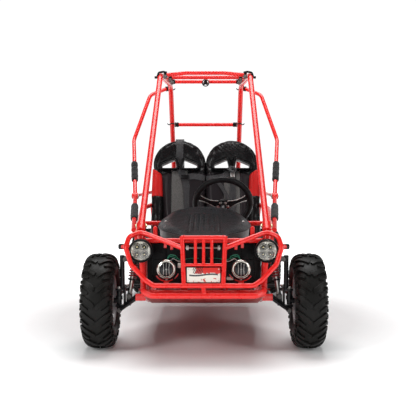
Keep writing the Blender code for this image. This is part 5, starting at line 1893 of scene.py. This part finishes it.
def build_arms(label, side):
    """The two forked arms, with a sleeve across each end."""
    place = on_side(side)
    arm = Weldment(BLACK_COAT)
    x_in, z_in = LOWER_INNER
    x_out, z_out = LOWER_OUTER
    eye(arm, place(x_in, 0, z_in), 0.0655, 0.010, BLACK_COAT)
    arm.laid.append(([place(x_in, -0.065, z_in), place(x_in, 0.065, z_in)], 0.010))
    for end in (-1, 1):
        eye(arm, place(x_out, end * 0.0255, z_out), 0.0085, 0.0095, BLACK_COAT)
        arm.laid.append(([place(x_out, end * 0.017, z_out), place(x_out, end * 0.034, z_out)], 0.0095))
        arm.use(BLACK_COAT)
        arm.bar([place(x_in, end * 0.056, z_in), place(x_out, end * 0.026, z_out)], 0.0080)
        ear = sorted((end * 0.0147, end * 0.0187))
        arm.side_box(side, (0.311, 0.333), ear, (0.192, 0.233), 0.0012)
        arm.use(IRON)
        arm.bolt(place(SHOCK_FOOT[0], end * 0.0187, SHOCK_FOOT[1]), Y_AXIS * end, 0.009)
        arm.bolt(place(x_out, end * 0.034, z_out), Y_AXIS * end, 0.009)
        arm.use(BLACK_COAT)
    arm.side_box(side, (0.312, 0.332), (-0.041, 0.041), (0.187, 0.200), 0.0015)
    arm.make("lower_arm_weldment_" + label, "lower_arm_" + label, "black_steel", ["lower_arm_" + label])

    arm = Weldment(BLACK_COAT)
    x_in, z_in = UPPER_INNER
    x_out, z_out = UPPER_OUTER
    eye(arm, place(x_in, 0, z_in), 0.0655, 0.009, BLACK_COAT)
    eye(arm, place(x_out, 0, z_out), 0.0115, 0.0085, BLACK_COAT)
    arm.use(BLACK_COAT)
    arm.laid.append(([place(x_in, -0.065, z_in), place(x_in, 0.065, z_in)], 0.009))
    arm.laid.append(([place(x_out, -0.011, z_out), place(x_out, 0.011, z_out)], 0.0085))
    for end in (-1, 1):
        arm.bar([place(x_in, end * 0.057, z_in), place(x_out, end * 0.002, z_out)], 0.0065)
    arm.make("upper_arm_weldment_" + label, "upper_arm_" + label, "black_steel", ["upper_arm_" + label])


def build_upright(label, side):
    """The upright between the arms, its ears, and the stub axle that turns in them."""
    place = on_side(side)
    post = Shape(BLACK_COAT)
    post.rod(place(0.3515, 0, 0.252), place(0.352, 0, 0.3975), 0.0105)
    post.side_box(side, (0.338, 0.346), (-0.015, 0.015), (0.178, 0.262), 0.0012)
    post.side_box(side, (0.339, 0.381), (-0.0145, 0.0145), (0.2462, 0.2550), 0.0012)
    post.side_box(side, (0.339, 0.381), (-0.0145, 0.0145), (0.1765, 0.1840), 0.0012)
    post.side_box(side, (0.353, 0.371), (-0.0150, 0.0150), (0.1655, 0.1790), 0.0010)
    eye(post, place(LOWER_OUTER[0], 0, LOWER_OUTER[1]), 0.0155, 0.0095, BLACK_COAT)
    for end in (-1, 1):
        post.use(BLACK_COAT)
        post.side_box(side, (0.3425, 0.356), sorted((end * 0.0070, end * 0.0170)), (0.3720, 0.3930), 0.0010)
        post.side_box(side, (0.3285, 0.350), sorted((end * 0.0127, end * 0.0170)), (0.3725, 0.3925), 0.0010)
        post.use(IRON)
        post.bolt(place(UPPER_OUTER[0] + 0.006, end * 0.0170, UPPER_OUTER[1]), Y_AXIS * end, 0.009)
    post.use(BLACK_COAT)
    post.turn(
        [(0, 0.004), (0.0085, 0.0035), (0.0100, 0.001), (0.0100, 0), (0, 0)], place(0.352, 0, 0.3945),
        Z_AXIS, 24
    )
    post.use(STEEL)
    post.bolt(place(KINGPIN_X, 0, 0.2550), Z_AXIS, 0.013)
    post.make("kingpin_upright_" + label, "carrier_" + label, "black_steel", ["kingpin_carrier_" + label])

    stub = Shape(BLACK_COAT)
    stub.turn([
        (0, 0.0578), (0.0105, 0.0578), (0.0115, 0.0568), (0.0115, 0.038), (0.0150, 0.036), (0.0150, 0.022),
        (0.0115, 0.020), (0.0115, 0.001), (0.0105, 0), (0, 0),
    ], place(KINGPIN_X, 0, 0.1862), Z_AXIS, 32)
    stub.rod(place(KINGPIN_X, 0, AXLE_Z), place(0.3895, 0, AXLE_Z), 0.0112)
    x, station, z = TIE_ROD_OUTER
    arm = smooth(
        [
            place(KINGPIN_X, 0, 0.226), place(0.362, 0.050, 0.227), place(0.350, 0.100, 0.232),
            place(x, station, z - 0.0155)
        ],
        6
    )
    stub.tube(arm, 0.0062, 16, flat=0.8)
    stub.rod(place(x, station, z - 0.021), place(x, station, z - 0.0098), 0.009)
    stub.use(STEEL)
    stub.rod(place(0.3890, 0, AXLE_Z), place(0.4960, 0, AXLE_Z), 0.0105)
    stub.turn(
        [(0, 0.0085), (0.0150, 0.0085), (0.0170, 0.0065), (0.0170, 0), (0, 0)], place(0.4880, 0, AXLE_Z),
        X_AXIS * side, 6
    )
    stub.turn(
        [(0, 0), (0.0165, 0), (0.0165, -0.002), (0, -0.002)], place(0.4880, 0, AXLE_Z), X_AXIS * side, 28
    )
    stub.bolt(place(x, station, z - 0.021), -Z_AXIS, 0.010)
    stub.make("stub_axle_" + label, "knuckle_" + label, "black_steel", ["knuckle_" + label])


def ball_end(shape, place, radius):
    """A tie rod end: a turned eye with its ball and rubber boot."""
    shape.use(STEEL)
    shape.turn(
        [
            (0, 0.0055), (radius * 0.55, 0.0055), (radius, 0.003), (radius, -0.003),
            (radius * 0.55, -0.0055), (0, -0.0055)
        ],
        place, Z_AXIS, 24
    )
    shape.use(GRIP_RUBBER)
    shape.turn(
        [(0, -0.0055), (radius * 0.85, -0.0060), (radius * 0.6, -0.0078), (0, -0.0082)], place, Z_AXIS, 24
    )


def build_tie_rod(label, side):
    outer = at(side * TIE_ROD_OUTER[0], *TIE_ROD_OUTER[1:])
    inner = at(side * TIE_ROD_INNER[0], *TIE_ROD_INNER[1:])
    along = (outer - inner).normalized()
    rod = Shape(BLACK_COAT)
    rod.rod(inner + along * 0.030, outer - along * 0.032, 0.0055)
    rod.use(STEEL)
    rod.rod(inner, outer - along * 0.002, 0.0036, 16)
    for end, direction in ((inner, along), (outer, -along)):
        rod.turn(
            [(0, 0.005), (0.0062, 0.005), (0.0068, 0.004), (0.0068, 0.001), (0.0062, 0), (0, 0)],
            end + direction * 0.022, direction, 6
        )
        ball_end(rod, end, 0.0088)
    rod.make("tie_rod_assembly_" + label, "tie_rod_" + label, "bright_steel", ["tie_rod_" + label])


def build_shock(label, side):
    """A coil-over damper: bright lower tube, a coil between its seats, and a chromed rod."""
    top = at(side * SHOCK_TOP[0], 0, SHOCK_TOP[1])
    foot = at(side * SHOCK_FOOT[0], 0, SHOCK_FOOT[1])
    up = (top - foot).normalized()
    body = Shape(STEEL)
    eye(body, foot, 0.0138, 0.0095, BLACK_COAT, GRIP_RUBBER)
    body.use(STEEL)
    body.turn([
        (0, 0.008), (0.0086, 0.008), (0.0100, 0.0105), (0.0100, 0.1290), (0.0092, 0.1300), (0.0070, 0.1300),
        (0.0070, 0.062), (0, 0.062),
    ][::-1], foot, up, 32)
    body.use(BLACK_COAT)
    body.turn(
        [
            (0.0175, 0.0745), (0.0168, 0.0765), (0.0102, 0.0765), (0.0102, 0.0700), (0.0150, 0.0700),
            (0.0175, 0.0725)
        ],
        foot, up, 32, closed=True
    )
    body.make("shock_tube_" + label, "shock_foot_" + label, "black_steel", ["shock_body_" + label])

    rod = Shape(STEEL)
    eye(rod, top, 0.0138, 0.0095, BLACK_COAT, GRIP_RUBBER)
    rod.use(CHROME)
    rod.rod(foot + up * 0.080, top - up * 0.008, 0.0055)
    rod.use(BLACK_COAT)
    rod.turn(
        [
            (0, 0.1605), (0.0085, 0.1600), (0.0168, 0.1575), (0.0175, 0.1560), (0.0175, 0.1510),
            (0.0160, 0.1500), (0, 0.1500)
        ],
        foot, up, 32
    )
    rod.use(GRIP_RUBBER)
    rod.turn(
        [(0.0090, 0.1500), (0.0095, 0.1450), (0.0085, 0.1410), (0.0057, 0.1400), (0.0057, 0.1500)], foot,
        up, 24, closed=True
    )
    rod.make("shock_piston_" + label, "shock_top_" + label, "bright_steel", ["shock_rod_" + label])

    coil = Shape(SPRING_COAT)
    first, last, coils, steps = 0.0800, 0.1465, 5.5, 24
    aside, other = square_to(up)
    path = []
    count = round(coils * steps)
    for i in range(count + 1):
        t = i / count
        angle = math.tau * coils * t
        rise = first + (last - first) * (ease(t, 0.0, 0.12) * 0.04 + ease(t, 0.88, 1.0) * 0.04 + t * 0.92)
        path.append(foot + (aside * math.cos(angle) + other * math.sin(angle)) * 0.0148 + up * rise)
    coil.tube(path, 0.0035, 12)
    spring = coil.make("shock_coil_" + label, None, "spring_coat", ["shock_spring_" + label])
    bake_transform(spring)


# Engine and drive line

CRANK = (1.200, 0.350)
CHAIN_X = -0.135
CHAIN_PITCH = 0.0127
LINK_HALF = Vector((0.0004, 0.0093, 0.0034))


def build_engine():
    """A small four-stroke: crankcase, finned cylinder, shroud, recoil starter, carburettor and air box."""
    low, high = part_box("engine_block")
    crank_y, crank_z = at(0, *CRANK).y, CRANK[1]
    case = Shape(CAST)
    case.box((low.x + 0.062, low.y + 0.012, low.z + 0.010), (0.082, high.y - 0.012, crank_z + 0.050), 0.010)
    case.box((low.x + 0.050, low.y, low.z), (0.090, high.y, low.z + 0.014), 0.003)
    for i in range(9):
        z = crank_z + 0.056 + 0.0088 * i
        grow = 0.006 if 2 < i < 7 else 0.0
        case.box((-0.072 - grow, low.y + 0.022 - grow / 2, z), (0.058, high.y - 0.040, z + 0.0030), 0.0012)
    case.box((-0.058, low.y + 0.034, crank_z + 0.048), (0.048, high.y - 0.052, high.z - 0.016), 0.006)
    case.box((-0.066, low.y + 0.026, high.z - 0.022), (0.052, high.y - 0.044, high.z - 0.004), 0.005)
    case.turn(
        [(0, 0.010), (0.052, 0.010), (0.058, 0.004), (0.058, 0), (0, 0)],
        Vector((low.x + 0.062, crank_y, crank_z)), -X_AXIS, 48
    )
    case.use(STEEL)
    case.rod((low.x + 0.0005, crank_y, crank_z), (low.x + 0.060, crank_y, crank_z), 0.0095)
    for angle in turns(8, 0.5):
        spot = Vector((low.x + 0.052, crank_y + 0.048 * math.cos(angle), crank_z + 0.048 * math.sin(angle)))
        case.bolt(spot, -X_AXIS, 0.008)
    for x in (low.x + 0.062, 0.078):
        for y in (low.y + 0.010, high.y - 0.010):
            case.bolt(Vector((x, y, low.z + 0.014)), Z_AXIS, 0.011)
    case.rod((-0.030, low.y + 0.034, high.z - 0.036), (-0.030, low.y + 0.018, high.z - 0.036), 0.0070)
    case.rod((-0.030, low.y + 0.022, high.z - 0.036), (-0.030, low.y + 0.004, high.z - 0.036), 0.0042)

    case.use(BLACK_COAT)
    drum = Vector((high.x, crank_y, crank_z + 0.018))
    case.turn([
        (0, 0.0), (0.038, 0.0), (0.052, -0.004), (0.072, -0.016), (0.080, -0.028), (0.080, -0.072),
        (0.074, -0.076), (0, -0.076),
    ], drum, X_AXIS, 64)
    for angle in turns(18):
        out = spoke(angle)
        case.rod(drum + out * 0.030 - X_AXIS * 0.0006, drum + out * 0.046 - X_AXIS * 0.0022, 0.0020, 8)
    case.box(
        (high.x - 0.085, low.y + 0.016, crank_z + 0.060), (high.x - 0.020, high.y - 0.030, high.z - 0.002),
        0.012
    )
    case.use(GRIP_RUBBER)
    pull = [
        drum + Vector(place)
        for place in ((-0.03, 0.050, 0.060), (-0.026, 0.058, 0.074), (-0.03, 0.070, 0.080))
    ]
    case.tube(smooth(pull, 6), 0.0045, 12)
    case.use(BLACK_PLASTIC)
    case.box((-0.040, high.y - 0.044, crank_z + 0.062), (0.060, high.y - 0.002, high.z - 0.012), 0.010)
    for i in range(6):
        x = -0.028 + 0.014 * i
        case.box((x, high.y - 0.0025, crank_z + 0.074), (x + 0.006, high.y - 0.0005, high.z - 0.026), 0.0008)
    case.use(CAST)
    case.box((-0.095, high.y - 0.066, crank_z + 0.078), (-0.060, high.y - 0.024, crank_z + 0.116), 0.006)
    case.rod((-0.078, high.y - 0.045, crank_z + 0.062), (-0.078, high.y - 0.045, crank_z + 0.080), 0.014)
    case.use(BLACK_PLASTIC)
    case.rod((0.020, low.y + 0.016, low.z + 0.030), (0.020, low.y + 0.002, low.z + 0.030), 0.010)
    case.make("engine_assembly", "frame", "cast_alloy", ["engine_block"])


def build_tank():
    low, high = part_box("fuel_tank")
    tank = Shape(BLACK_COAT)
    mid_z = (low.z + high.z) / 2
    tank.box((low.x, low.y, low.z + 0.004), (high.x, high.y, high.z - 0.016), 0.020, segments=6)
    tank.tube([
        Vector((low.x + 0.004, low.y + 0.004, mid_z)), Vector((high.x - 0.004, low.y + 0.004, mid_z)),
        Vector((high.x - 0.004, high.y - 0.004, mid_z)), Vector((low.x + 0.004, high.y - 0.004, mid_z)),
    ], 0.0026, 8, closed=True)
    tank.use(BLACK_PLASTIC)
    cap = Vector(((low.x + high.x) / 2, (low.y + high.y) / 2, high.z))
    tank.turn(
        [(0, 0), (0.022, 0), (0.026, -0.003), (0.026, -0.015), (0.018, -0.018), (0, -0.018)], cap, Z_AXIS,
        24
    )
    for angle in turns(24):
        spot = cap + Vector((math.cos(angle), math.sin(angle), 0)) * 0.026 - Z_AXIS * 0.009
        tank.rod(spot - Z_AXIS * 0.005, spot + Z_AXIS * 0.005, 0.0016, 6)
    tank.use(STEEL)
    for x in (low.x + 0.010, high.x - 0.010):
        tank.bolt(Vector((x, low.y + 0.030, low.z + 0.010)), X_AXIS * (1 if x > 0 else -1), 0.009)
    tank.make("fuel_tank_pressing", "frame", "black_steel", ["fuel_tank"])


def build_muffler():
    """A drum silencer with a louvred guard and its outlet."""
    low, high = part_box("muffler")
    centre = (low + high) / 2
    half = (high.x - low.x) / 2
    radius = min(high.z - low.z, high.y - low.y) / 2
    drum = Shape(IRON)
    drum.turn([
        (0, half - 0.002), (radius - 0.012, half - 0.002), (radius - 0.004, half - 0.008),
        (radius - 0.002, half - 0.014), (radius - 0.002, 0.014 - half), (radius - 0.004, 0.008 - half),
        (radius - 0.012, 0.002 - half), (0, 0.002 - half),
    ], centre, X_AXIS, 48)
    for edge in (-1, 1):
        end = centre + X_AXIS * edge * (half - 0.014)
        drum.tube([end + spoke(angle) * (radius - 0.002) for angle in turns(48)], 0.0022, 8, closed=True)
    drum.use(BLACK_COAT)
    for i in range(9):
        x = centre.x - half + 0.030 + i * (2 * half - 0.060) / 8
        hoop = Vector((x, centre.y, centre.z))
        arc = [hoop + spoke(math.radians(-55 + 110 * step / 12)) * radius for step in range(13)]
        drum.tube(arc, 0.0026, 8)
    drum.use(STEEL)
    outlet = high.x - 0.022
    drum.rod((outlet, high.y - 0.036, low.z + 0.012), (outlet, high.y + 0.004, low.z + 0.004), 0.0085)
    drum.use(IRON)
    inlet = centre.x - 0.020
    drum.rod((inlet, low.y + 0.004, centre.z - 0.016), (inlet, low.y + 0.018, centre.z - 0.010), 0.011)
    drum.make("silencer", "frame", "black_steel", ["muffler"])


def gear(shape, centre, root, tip, teeth, half, bore, painted_holes=0):
    """A sprocket across the kart: a toothed ring with a hub bore, and black discs on both faces painted where
    round lightening holes would be.
    """
    thin = half * 0.55
    rows = []
    for i, angle in enumerate(turns(teeth * 6, -2.5)):
        phase = i % 6
        radius = root if phase in (0, 5) else tip if phase in (2, 3) else (root + tip) / 2
        out = spoke(angle)
        section = ((bore, half), (root - 0.004, half), (radius, thin))
        row = [centre + out * reach + X_AXIS * x for reach, x in section]
        rows.append(row + [centre + out * reach - X_AXIS * x for reach, x in section[::-1]])
    shape.skin(rows, ring=True, closed=True)
    # Black discs on both faces stand in for the lightening holes: painted darkness of holes, not holes.
    for angle in turns(painted_holes):
        spot = centre + spoke(angle) * (bore + root) * 0.5
        shape.use(BLACK_COAT)
        for out in (-X_AXIS, X_AXIS):
            shape.turn([(0, 0.0005), (0.0095, 0.0005), (0.0105, 0), (0, 0)], spot + out * half, out, 24)
        shape.use(STEEL)


AXLE_RADIUS = 0.0125
HUB_BORE = 0.0128
DISC_X = 0.130
DISC_HALF = 0.002


def build_axle():
    low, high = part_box("rear_axle")
    centre = (low + high) / 2
    axle = Shape(STEEL)
    start, end = (Vector((x, centre.y, centre.z)) for x in (low.x + 0.010, high.x - 0.010))
    axle.rod(start, end, AXLE_RADIUS, 36)
    for side in (-1, 1):
        hub = Vector((side * 0.4495, centre.y, centre.z))
        axle.turn(
            [(0, 0.0115), (0.0150, 0.0115), (0.0188, 0.0085), (0.0188, 0), (0, 0)], hub, X_AXIS * side, 6
        )
        axle.rod(hub, Vector((side * (high.x - 0.0005), centre.y, centre.z)), 0.0075)
        for x in (0.232, 0.180):
            collar = Vector((side * x, centre.y, centre.z))
            axle.collar(collar, X_AXIS, (0.0180, AXLE_RADIUS), (0.006, -0.006), 32)
    axle.make("axle_shaft", "axle", "bright_steel", ["rear_axle"])

    low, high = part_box("axle_sprocket")
    centre = (low + high) / 2
    wheel = Shape(STEEL)
    gear(wheel, Vector((CHAIN_X, centre.y, centre.z)), 0.0800, 0.0850, 42, 0.0030, HUB_BORE, 6)
    wheel.collar(centre, X_AXIS, (0.030, HUB_BORE), (high.x - centre.x, low.x - centre.x), 36)
    for angle in turns(6, 0.5):
        wheel.bolt(Vector((CHAIN_X + 0.003, centre.y, centre.z)) + spoke(angle) * 0.040, X_AXIS, 0.009)
    wheel.make("axle_gear", "axle", "bright_steel", ["axle_sprocket"])

    low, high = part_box("brake_disc")
    centre = (low + high) / 2
    disc = Shape(STEEL)
    plate = Vector((DISC_X, centre.y, centre.z))
    disc.collar(plate, X_AXIS, (0.0750, HUB_BORE), (DISC_HALF, -DISC_HALF), 72)
    ends = (high.x - 0.0005 - centre.x, low.x + 0.0005 - centre.x)
    disc.collar(centre, X_AXIS, (0.030, HUB_BORE), ends, 36)
    # The drilled holes are small black discs on both faces of the solid rotor: painted darkness of holes, not
    # holes.
    disc.use(BLACK_COAT)
    for ring, count in ((0.050, 10), (0.064, 20)):
        for angle in turns(count, 0.25 * (ring > 0.06)):
            spot = plate + spoke(angle) * ring
            for out in (-X_AXIS, X_AXIS):
                disc.turn(
                    [(0, 0.0003), (0.0028, 0.0003), (0.0031, 0), (0, 0)], spot + out * DISC_HALF, out, 16
                )
    disc.make("brake_rotor", "axle", "bright_steel", ["brake_disc"])


def build_caliper():
    low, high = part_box("brake_caliper")
    body = Shape(BLACK_COAT)
    slot_low, slot_high = 0.1272, 0.1328
    body.box((low.x, low.y, low.z), (slot_low - 0.0008, high.y, high.z), 0.004)
    body.box((slot_high + 0.0008, low.y, low.z), (0.160, high.y, high.z), 0.004)
    body.box((low.x + 0.002, high.y - 0.014, low.z), (0.158, high.y, high.z), 0.004)
    body.box((0.156, high.y - 0.018, low.z + 0.010), (high.x, high.y - 0.008, high.z - 0.012), 0.002)
    body.use(STEEL)
    bolt_y = (low.y + high.y) / 2 - 0.004
    for z in (low.z + 0.014, high.z - 0.014):
        body.bolt(Vector((0.160, bolt_y, z)), X_AXIS, 0.011)
        body.bolt(Vector((low.x, bolt_y, z)), -X_AXIS, 0.011)
    nipple = Vector((low.x + 0.012, high.y - 0.020, high.z))
    body.rod(nipple - Z_AXIS * 0.002, nipple + Z_AXIS * 0.006, 0.0035)
    body.make("brake_caliper_casting", "frame", "black_steel", ["brake_caliper"])


def chain_path():
    """The chain's centre line about both sprockets."""
    small = Vector((at(0, *CRANK).y, CRANK[1]))
    large = Vector((FRONT_AXLE_Y + WHEELBASE, AXLE_Z))
    small_radius, large_radius = 0.0345, 0.0895
    span = large - small
    heading = math.atan2(span.y, span.x)
    wrap = math.acos((small_radius - large_radius) / span.length)
    path = []
    for i in range(25):
        angle = heading + wrap + (math.tau - 2 * wrap) * i / 24
        path.append(small + Vector((math.cos(angle), math.sin(angle))) * small_radius)
    for i in range(37):
        angle = heading - wrap + 2 * wrap * i / 36
        path.append(large + Vector((math.cos(angle), math.sin(angle))) * large_radius)
    path = [Vector((CHAIN_X, point.x, point.y)) for point in path]
    return path + path[:1]


def build_chain():
    """Roller chain: link plates in two rows with a pin and a roller at each pitch."""
    path = chain_path()
    reach = [0.0]
    for a, b in zip(path, path[1:]):
        reach.append(reach[-1] + (b - a).length)
    count = 2 * round(reach[-1] / CHAIN_PITCH / 2)
    pins = []
    for i in range(count):
        target = reach[-1] * i / count
        k = max(j for j in range(len(path) - 1) if reach[j] <= target)
        pins.append(path[k].lerp(path[k + 1], (target - reach[k]) / (reach[k + 1] - reach[k])))
    chain = Shape(STEEL)
    for i, pin in enumerate(pins):
        following = pins[(i + 1) % count]
        chain.rod(pin - X_AXIS * 0.0038, pin + X_AXIS * 0.0038, 0.0016, 8, 0.0003)
        chain.collar(pin, X_AXIS, (0.0036, 0.0017), (0.0017, -0.0017), 10)
        link = (pin + following) / 2
        along = (following - pin).normalized()
        turn = Matrix((X_AXIS, along, X_AXIS.cross(along))).transposed()
        gap = 0.0022 if i % 2 else 0.0031
        for way in (-1, 1):
            spot = link + X_AXIS * way * gap
            chain.box(spot - LINK_HALF, spot + LINK_HALF, 0.0, turn)
    chain.make("roller_chain", "frame", "bright_steel", ["drive_chain"])

    low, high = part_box("clutch_sprocket")
    centre = (low + high) / 2
    clutch = Shape(STEEL)
    gear(clutch, Vector((CHAIN_X, centre.y, centre.z)), 0.0262, 0.0300, 11, 0.0032, 0.0112)
    clutch.turn([
        (0.0300, high.x - centre.x), (0.0300, CHAIN_X + 0.006 - centre.x),
        (0.0180, CHAIN_X + 0.004 - centre.x), (0.0112, CHAIN_X + 0.004 - centre.x),
        (0.0112, high.x - centre.x),
    ], centre, X_AXIS, 48, closed=True)
    clutch.collar(centre, X_AXIS, (0.0200, 0.0112), (CHAIN_X - 0.004 - centre.x, low.x - centre.x), 36)
    clutch.make("clutch_drum", "clutch", "bright_steel", ["clutch_sprocket"])


# Clamps, ties, caps and the floor pan

def build_clamps():
    """The black clamps at the roof corners, their bolts, and the knob outside each front pillar's top."""
    clamps = Shape(BLACK_PLASTIC)
    for _, side in SIDES:
        place = on_side(side)
        clamps.use(BLACK_PLASTIC)
        clamps.side_box(side, (0.1965, 0.2120), (0.640, 0.664), (1.2330, 1.2640), 0.004)
        hook = [place(0.246, 0.648, 1.236), place(0.238, 0.650, 1.262)]
        hook += [place(0.214, 0.652, 1.2665), place(0.196, 0.652, 1.262)]
        clamps.tube(bend(hook, 0.012), 0.0055, 14)
        clamps.rod(place(0.2455, 0.640, 1.236), place(0.2585, 0.638, 1.236), 0.0065)
        clamps.rod(place(0.192, 0.752, 1.248), place(0.176, 0.752, 1.248), 0.0135)
        clamps.side_box(side, (0.176, 0.190), (0.925, 0.955), (1.2370, 1.2640), 0.004)
        clamps.rod(place(0.1920, 0.940, 1.250), place(0.168, 0.940, 1.250), 0.0125)
        clamps.use(IRON)
        for x, station, z in ((0.204, 0.640, 1.2390), (0.184, 0.9250, 1.2430), (0.184, 0.7400, 1.2360)):
            clamps.bolt(place(x, station, z), -Y_AXIS, 0.010)
    clamps.make("roof_clamps", "frame", "black_moulding")


def tie(shape, span, tail):
    """A strap wound round a bar's end, with its loose tail."""
    heading = (span[1] - span[0]).normalized()
    reach = (span[1] - span[0]).length / 8
    for i in range(4):
        spot = span[0].lerp(span[1], (i + 0.5) / 4)
        shape.rod(
            spot - heading * reach * 0.96, spot + heading * reach * 0.96, 0.0130 + 0.0012 * (i % 2), 20,
            0.0012
        )
    shape.tube(smooth([span[0].lerp(span[1], 0.4), *tail], 6), 0.0028, 10)


def build_ties():
    """Black ties on the rear cross bar's ends and on the tops of the side bars."""
    ties = Shape(GRIP_RUBBER)
    for _, side in SIDES:
        for span, tail in (
            (((0.158, 1.1805, 1.030), (0.181, 1.1805, 1.030)),
             ((0.196, 1.160, 1.036), (0.214, 1.154, 1.028), (0.224, 1.152, 1.035))),
            (((0.206, 1.104, 1.232), (0.228, 1.089, 1.227)),
             ((0.196, 1.092, 1.232), (0.184, 1.084, 1.222), (0.174, 1.080, 1.229))),
        ):
            tie(ties, line(span, side), line(tail, side))
    ties.make("bar_ties", "frame", "black_moulding")


def build_roof_lamp():
    """A small round lamp under the middle of the rear roof bar."""
    spot = at(0, 0.9240, 1.2430)
    lamp = Shape(BLACK_PLASTIC)
    lamp.turn([
        (0.0170, -0.001), (0.0195, 0), (0.0205, -0.003), (0.0205, -0.010), (0.0150, -0.018), (0, -0.018),
        (0, -0.010), (0.0170, -0.010),
    ], spot, -Y_AXIS, 40)
    lamp.use(CHROME)
    lamp.turn(
        [
            (0, -0.0090), (0.0090, -0.0080), (0.0150, -0.0040), (0.0168, -0.0012), (0.0168, -0.0095),
            (0, -0.0095)
        ],
        spot, -Y_AXIS, 40
    )
    lamp.use(BLACK_PLASTIC)
    lamp.turn([(0, -0.004), (0.0070, -0.0045), (0.0080, -0.0078), (0, -0.0085)], spot, -Y_AXIS, 24)
    lamp.side_box(1, (-0.009, 0.009), (0.928, 0.960), (1.2350, 1.2640), 0.003)
    lamp.make("roof_lamp", "frame", "lamp_housing")


def build_pegs():
    """Black caps on the frame's front pegs, and a bright rod behind the grille."""
    caps = Shape(GRIP_RUBBER)
    for _, side in SIDES:
        tip = at(side * 0.345, -0.125, 0.448)
        caps.turn([
            (0, 0.0075), (0.0080, 0.0070), (0.0105, 0.0045), (0.0115, 0), (0.0115, -0.030), (0.0100, -0.0305),
            (0, -0.0305),
        ], tip, X_AXIS * side, 28)
    caps.use(STEEL)
    caps.rod(at(-0.075, -0.158, 0.446), at(0.070, -0.158, 0.446), 0.0045)
    for x in (-0.066, 0.061):
        caps.side_box(1, (x - 0.005, x + 0.005), (-0.1635, -0.1500), (0.4370, 0.4560), 0.0012)
    caps.make("front_caps", "frame", "black_moulding")


def build_floor_pan():
    """The folded floor sheet with pressed ribs and a row of bolts down each side."""
    rows = ((-0.270, 0.262, 0.230), (0.250, 0.1495, 0.246), (1.000, 0.1495, 0.246))
    sheet = 0.003
    pan = Shape(DARK_RED)

    def pan_point(station, t):
        a, b = rows[:2] if station < rows[1][0] else rows[1:]
        part = (station - a[0]) / (b[0] - a[0])
        z = a[1] + (b[1] - a[1]) * part
        half = a[2] + (b[2] - a[2]) * part
        x = half * t
        rib = 0.0
        for place in (-0.150, -0.075, 0.0, 0.075, 0.150):
            flat = ease(station, -0.20, -0.17) * (1 - ease(station, 0.20, 0.23))
            flat += ease(station, 0.30, 0.33) * (1 - ease(station, 0.93, 0.96))
            rib += 0.0035 * flat * math.exp(-((x - place) / 0.008) ** 4)
        return at(x, station, z + rib)

    stations = [rows[0][0] + (rows[2][0] - rows[0][0]) * i / 120 for i in range(121)]
    columns = 96
    top = [[pan_point(station, 2 * j / columns - 1) for j in range(columns + 1)] for station in stations]
    low = [[point - Z_AXIS * sheet for point in row] for row in top]
    pan.skin([a + b[::-1] for a, b in zip(top, low)], ring=True)
    for row_top, row_low in ((top[0], low[0]), (top[-1], low[-1])):
        for j in range(columns):
            corners = (row_top[j], row_top[j + 1], row_low[j + 1], row_low[j])
            pan.face([pan.mesh.verts.new(point) for point in corners])
    pan.use(STEEL)
    for _, side in SIDES:
        for i in range(9):
            pan.bolt(pan_point(-0.05 + 0.12 * i, side * 0.93), Z_AXIS, 0.009)
    pan.make("floor_sheet", "frame", "dark_red_coat", ["floor_pan"])


# Making

build_camera()
build_studio()
build_main_frame()
build_nose_guard()
for SIDE_LABEL, SIDE_SIGN in SIDES:
    build_cage(SIDE_LABEL, SIDE_SIGN)
    build_side_bar(SIDE_LABEL, SIDE_SIGN)
    build_grips(SIDE_LABEL, SIDE_SIGN)
    build_headlight(SIDE_LABEL, SIDE_SIGN)
    build_fog_lamp(SIDE_LABEL, SIDE_SIGN)
    build_arms(SIDE_LABEL, SIDE_SIGN)
    build_upright(SIDE_LABEL, SIDE_SIGN)
    build_tie_rod(SIDE_LABEL, SIDE_SIGN)
    build_shock(SIDE_LABEL, SIDE_SIGN)
build_roof()
build_hood()
build_badge()
build_wiring()
build_wheels()
build_steering_wheel()
build_pedals()
build_engine()
build_tank()
build_muffler()
build_axle()
build_caliper()
build_chain()
build_clamps()
build_ties()
build_roof_lamp()
build_pegs()
build_floor_pan()
BACKS = build_seat_back()
build_wings()
build_seat_cushion()
build_seat_trim(BACKS)
build_belts(BACKS)
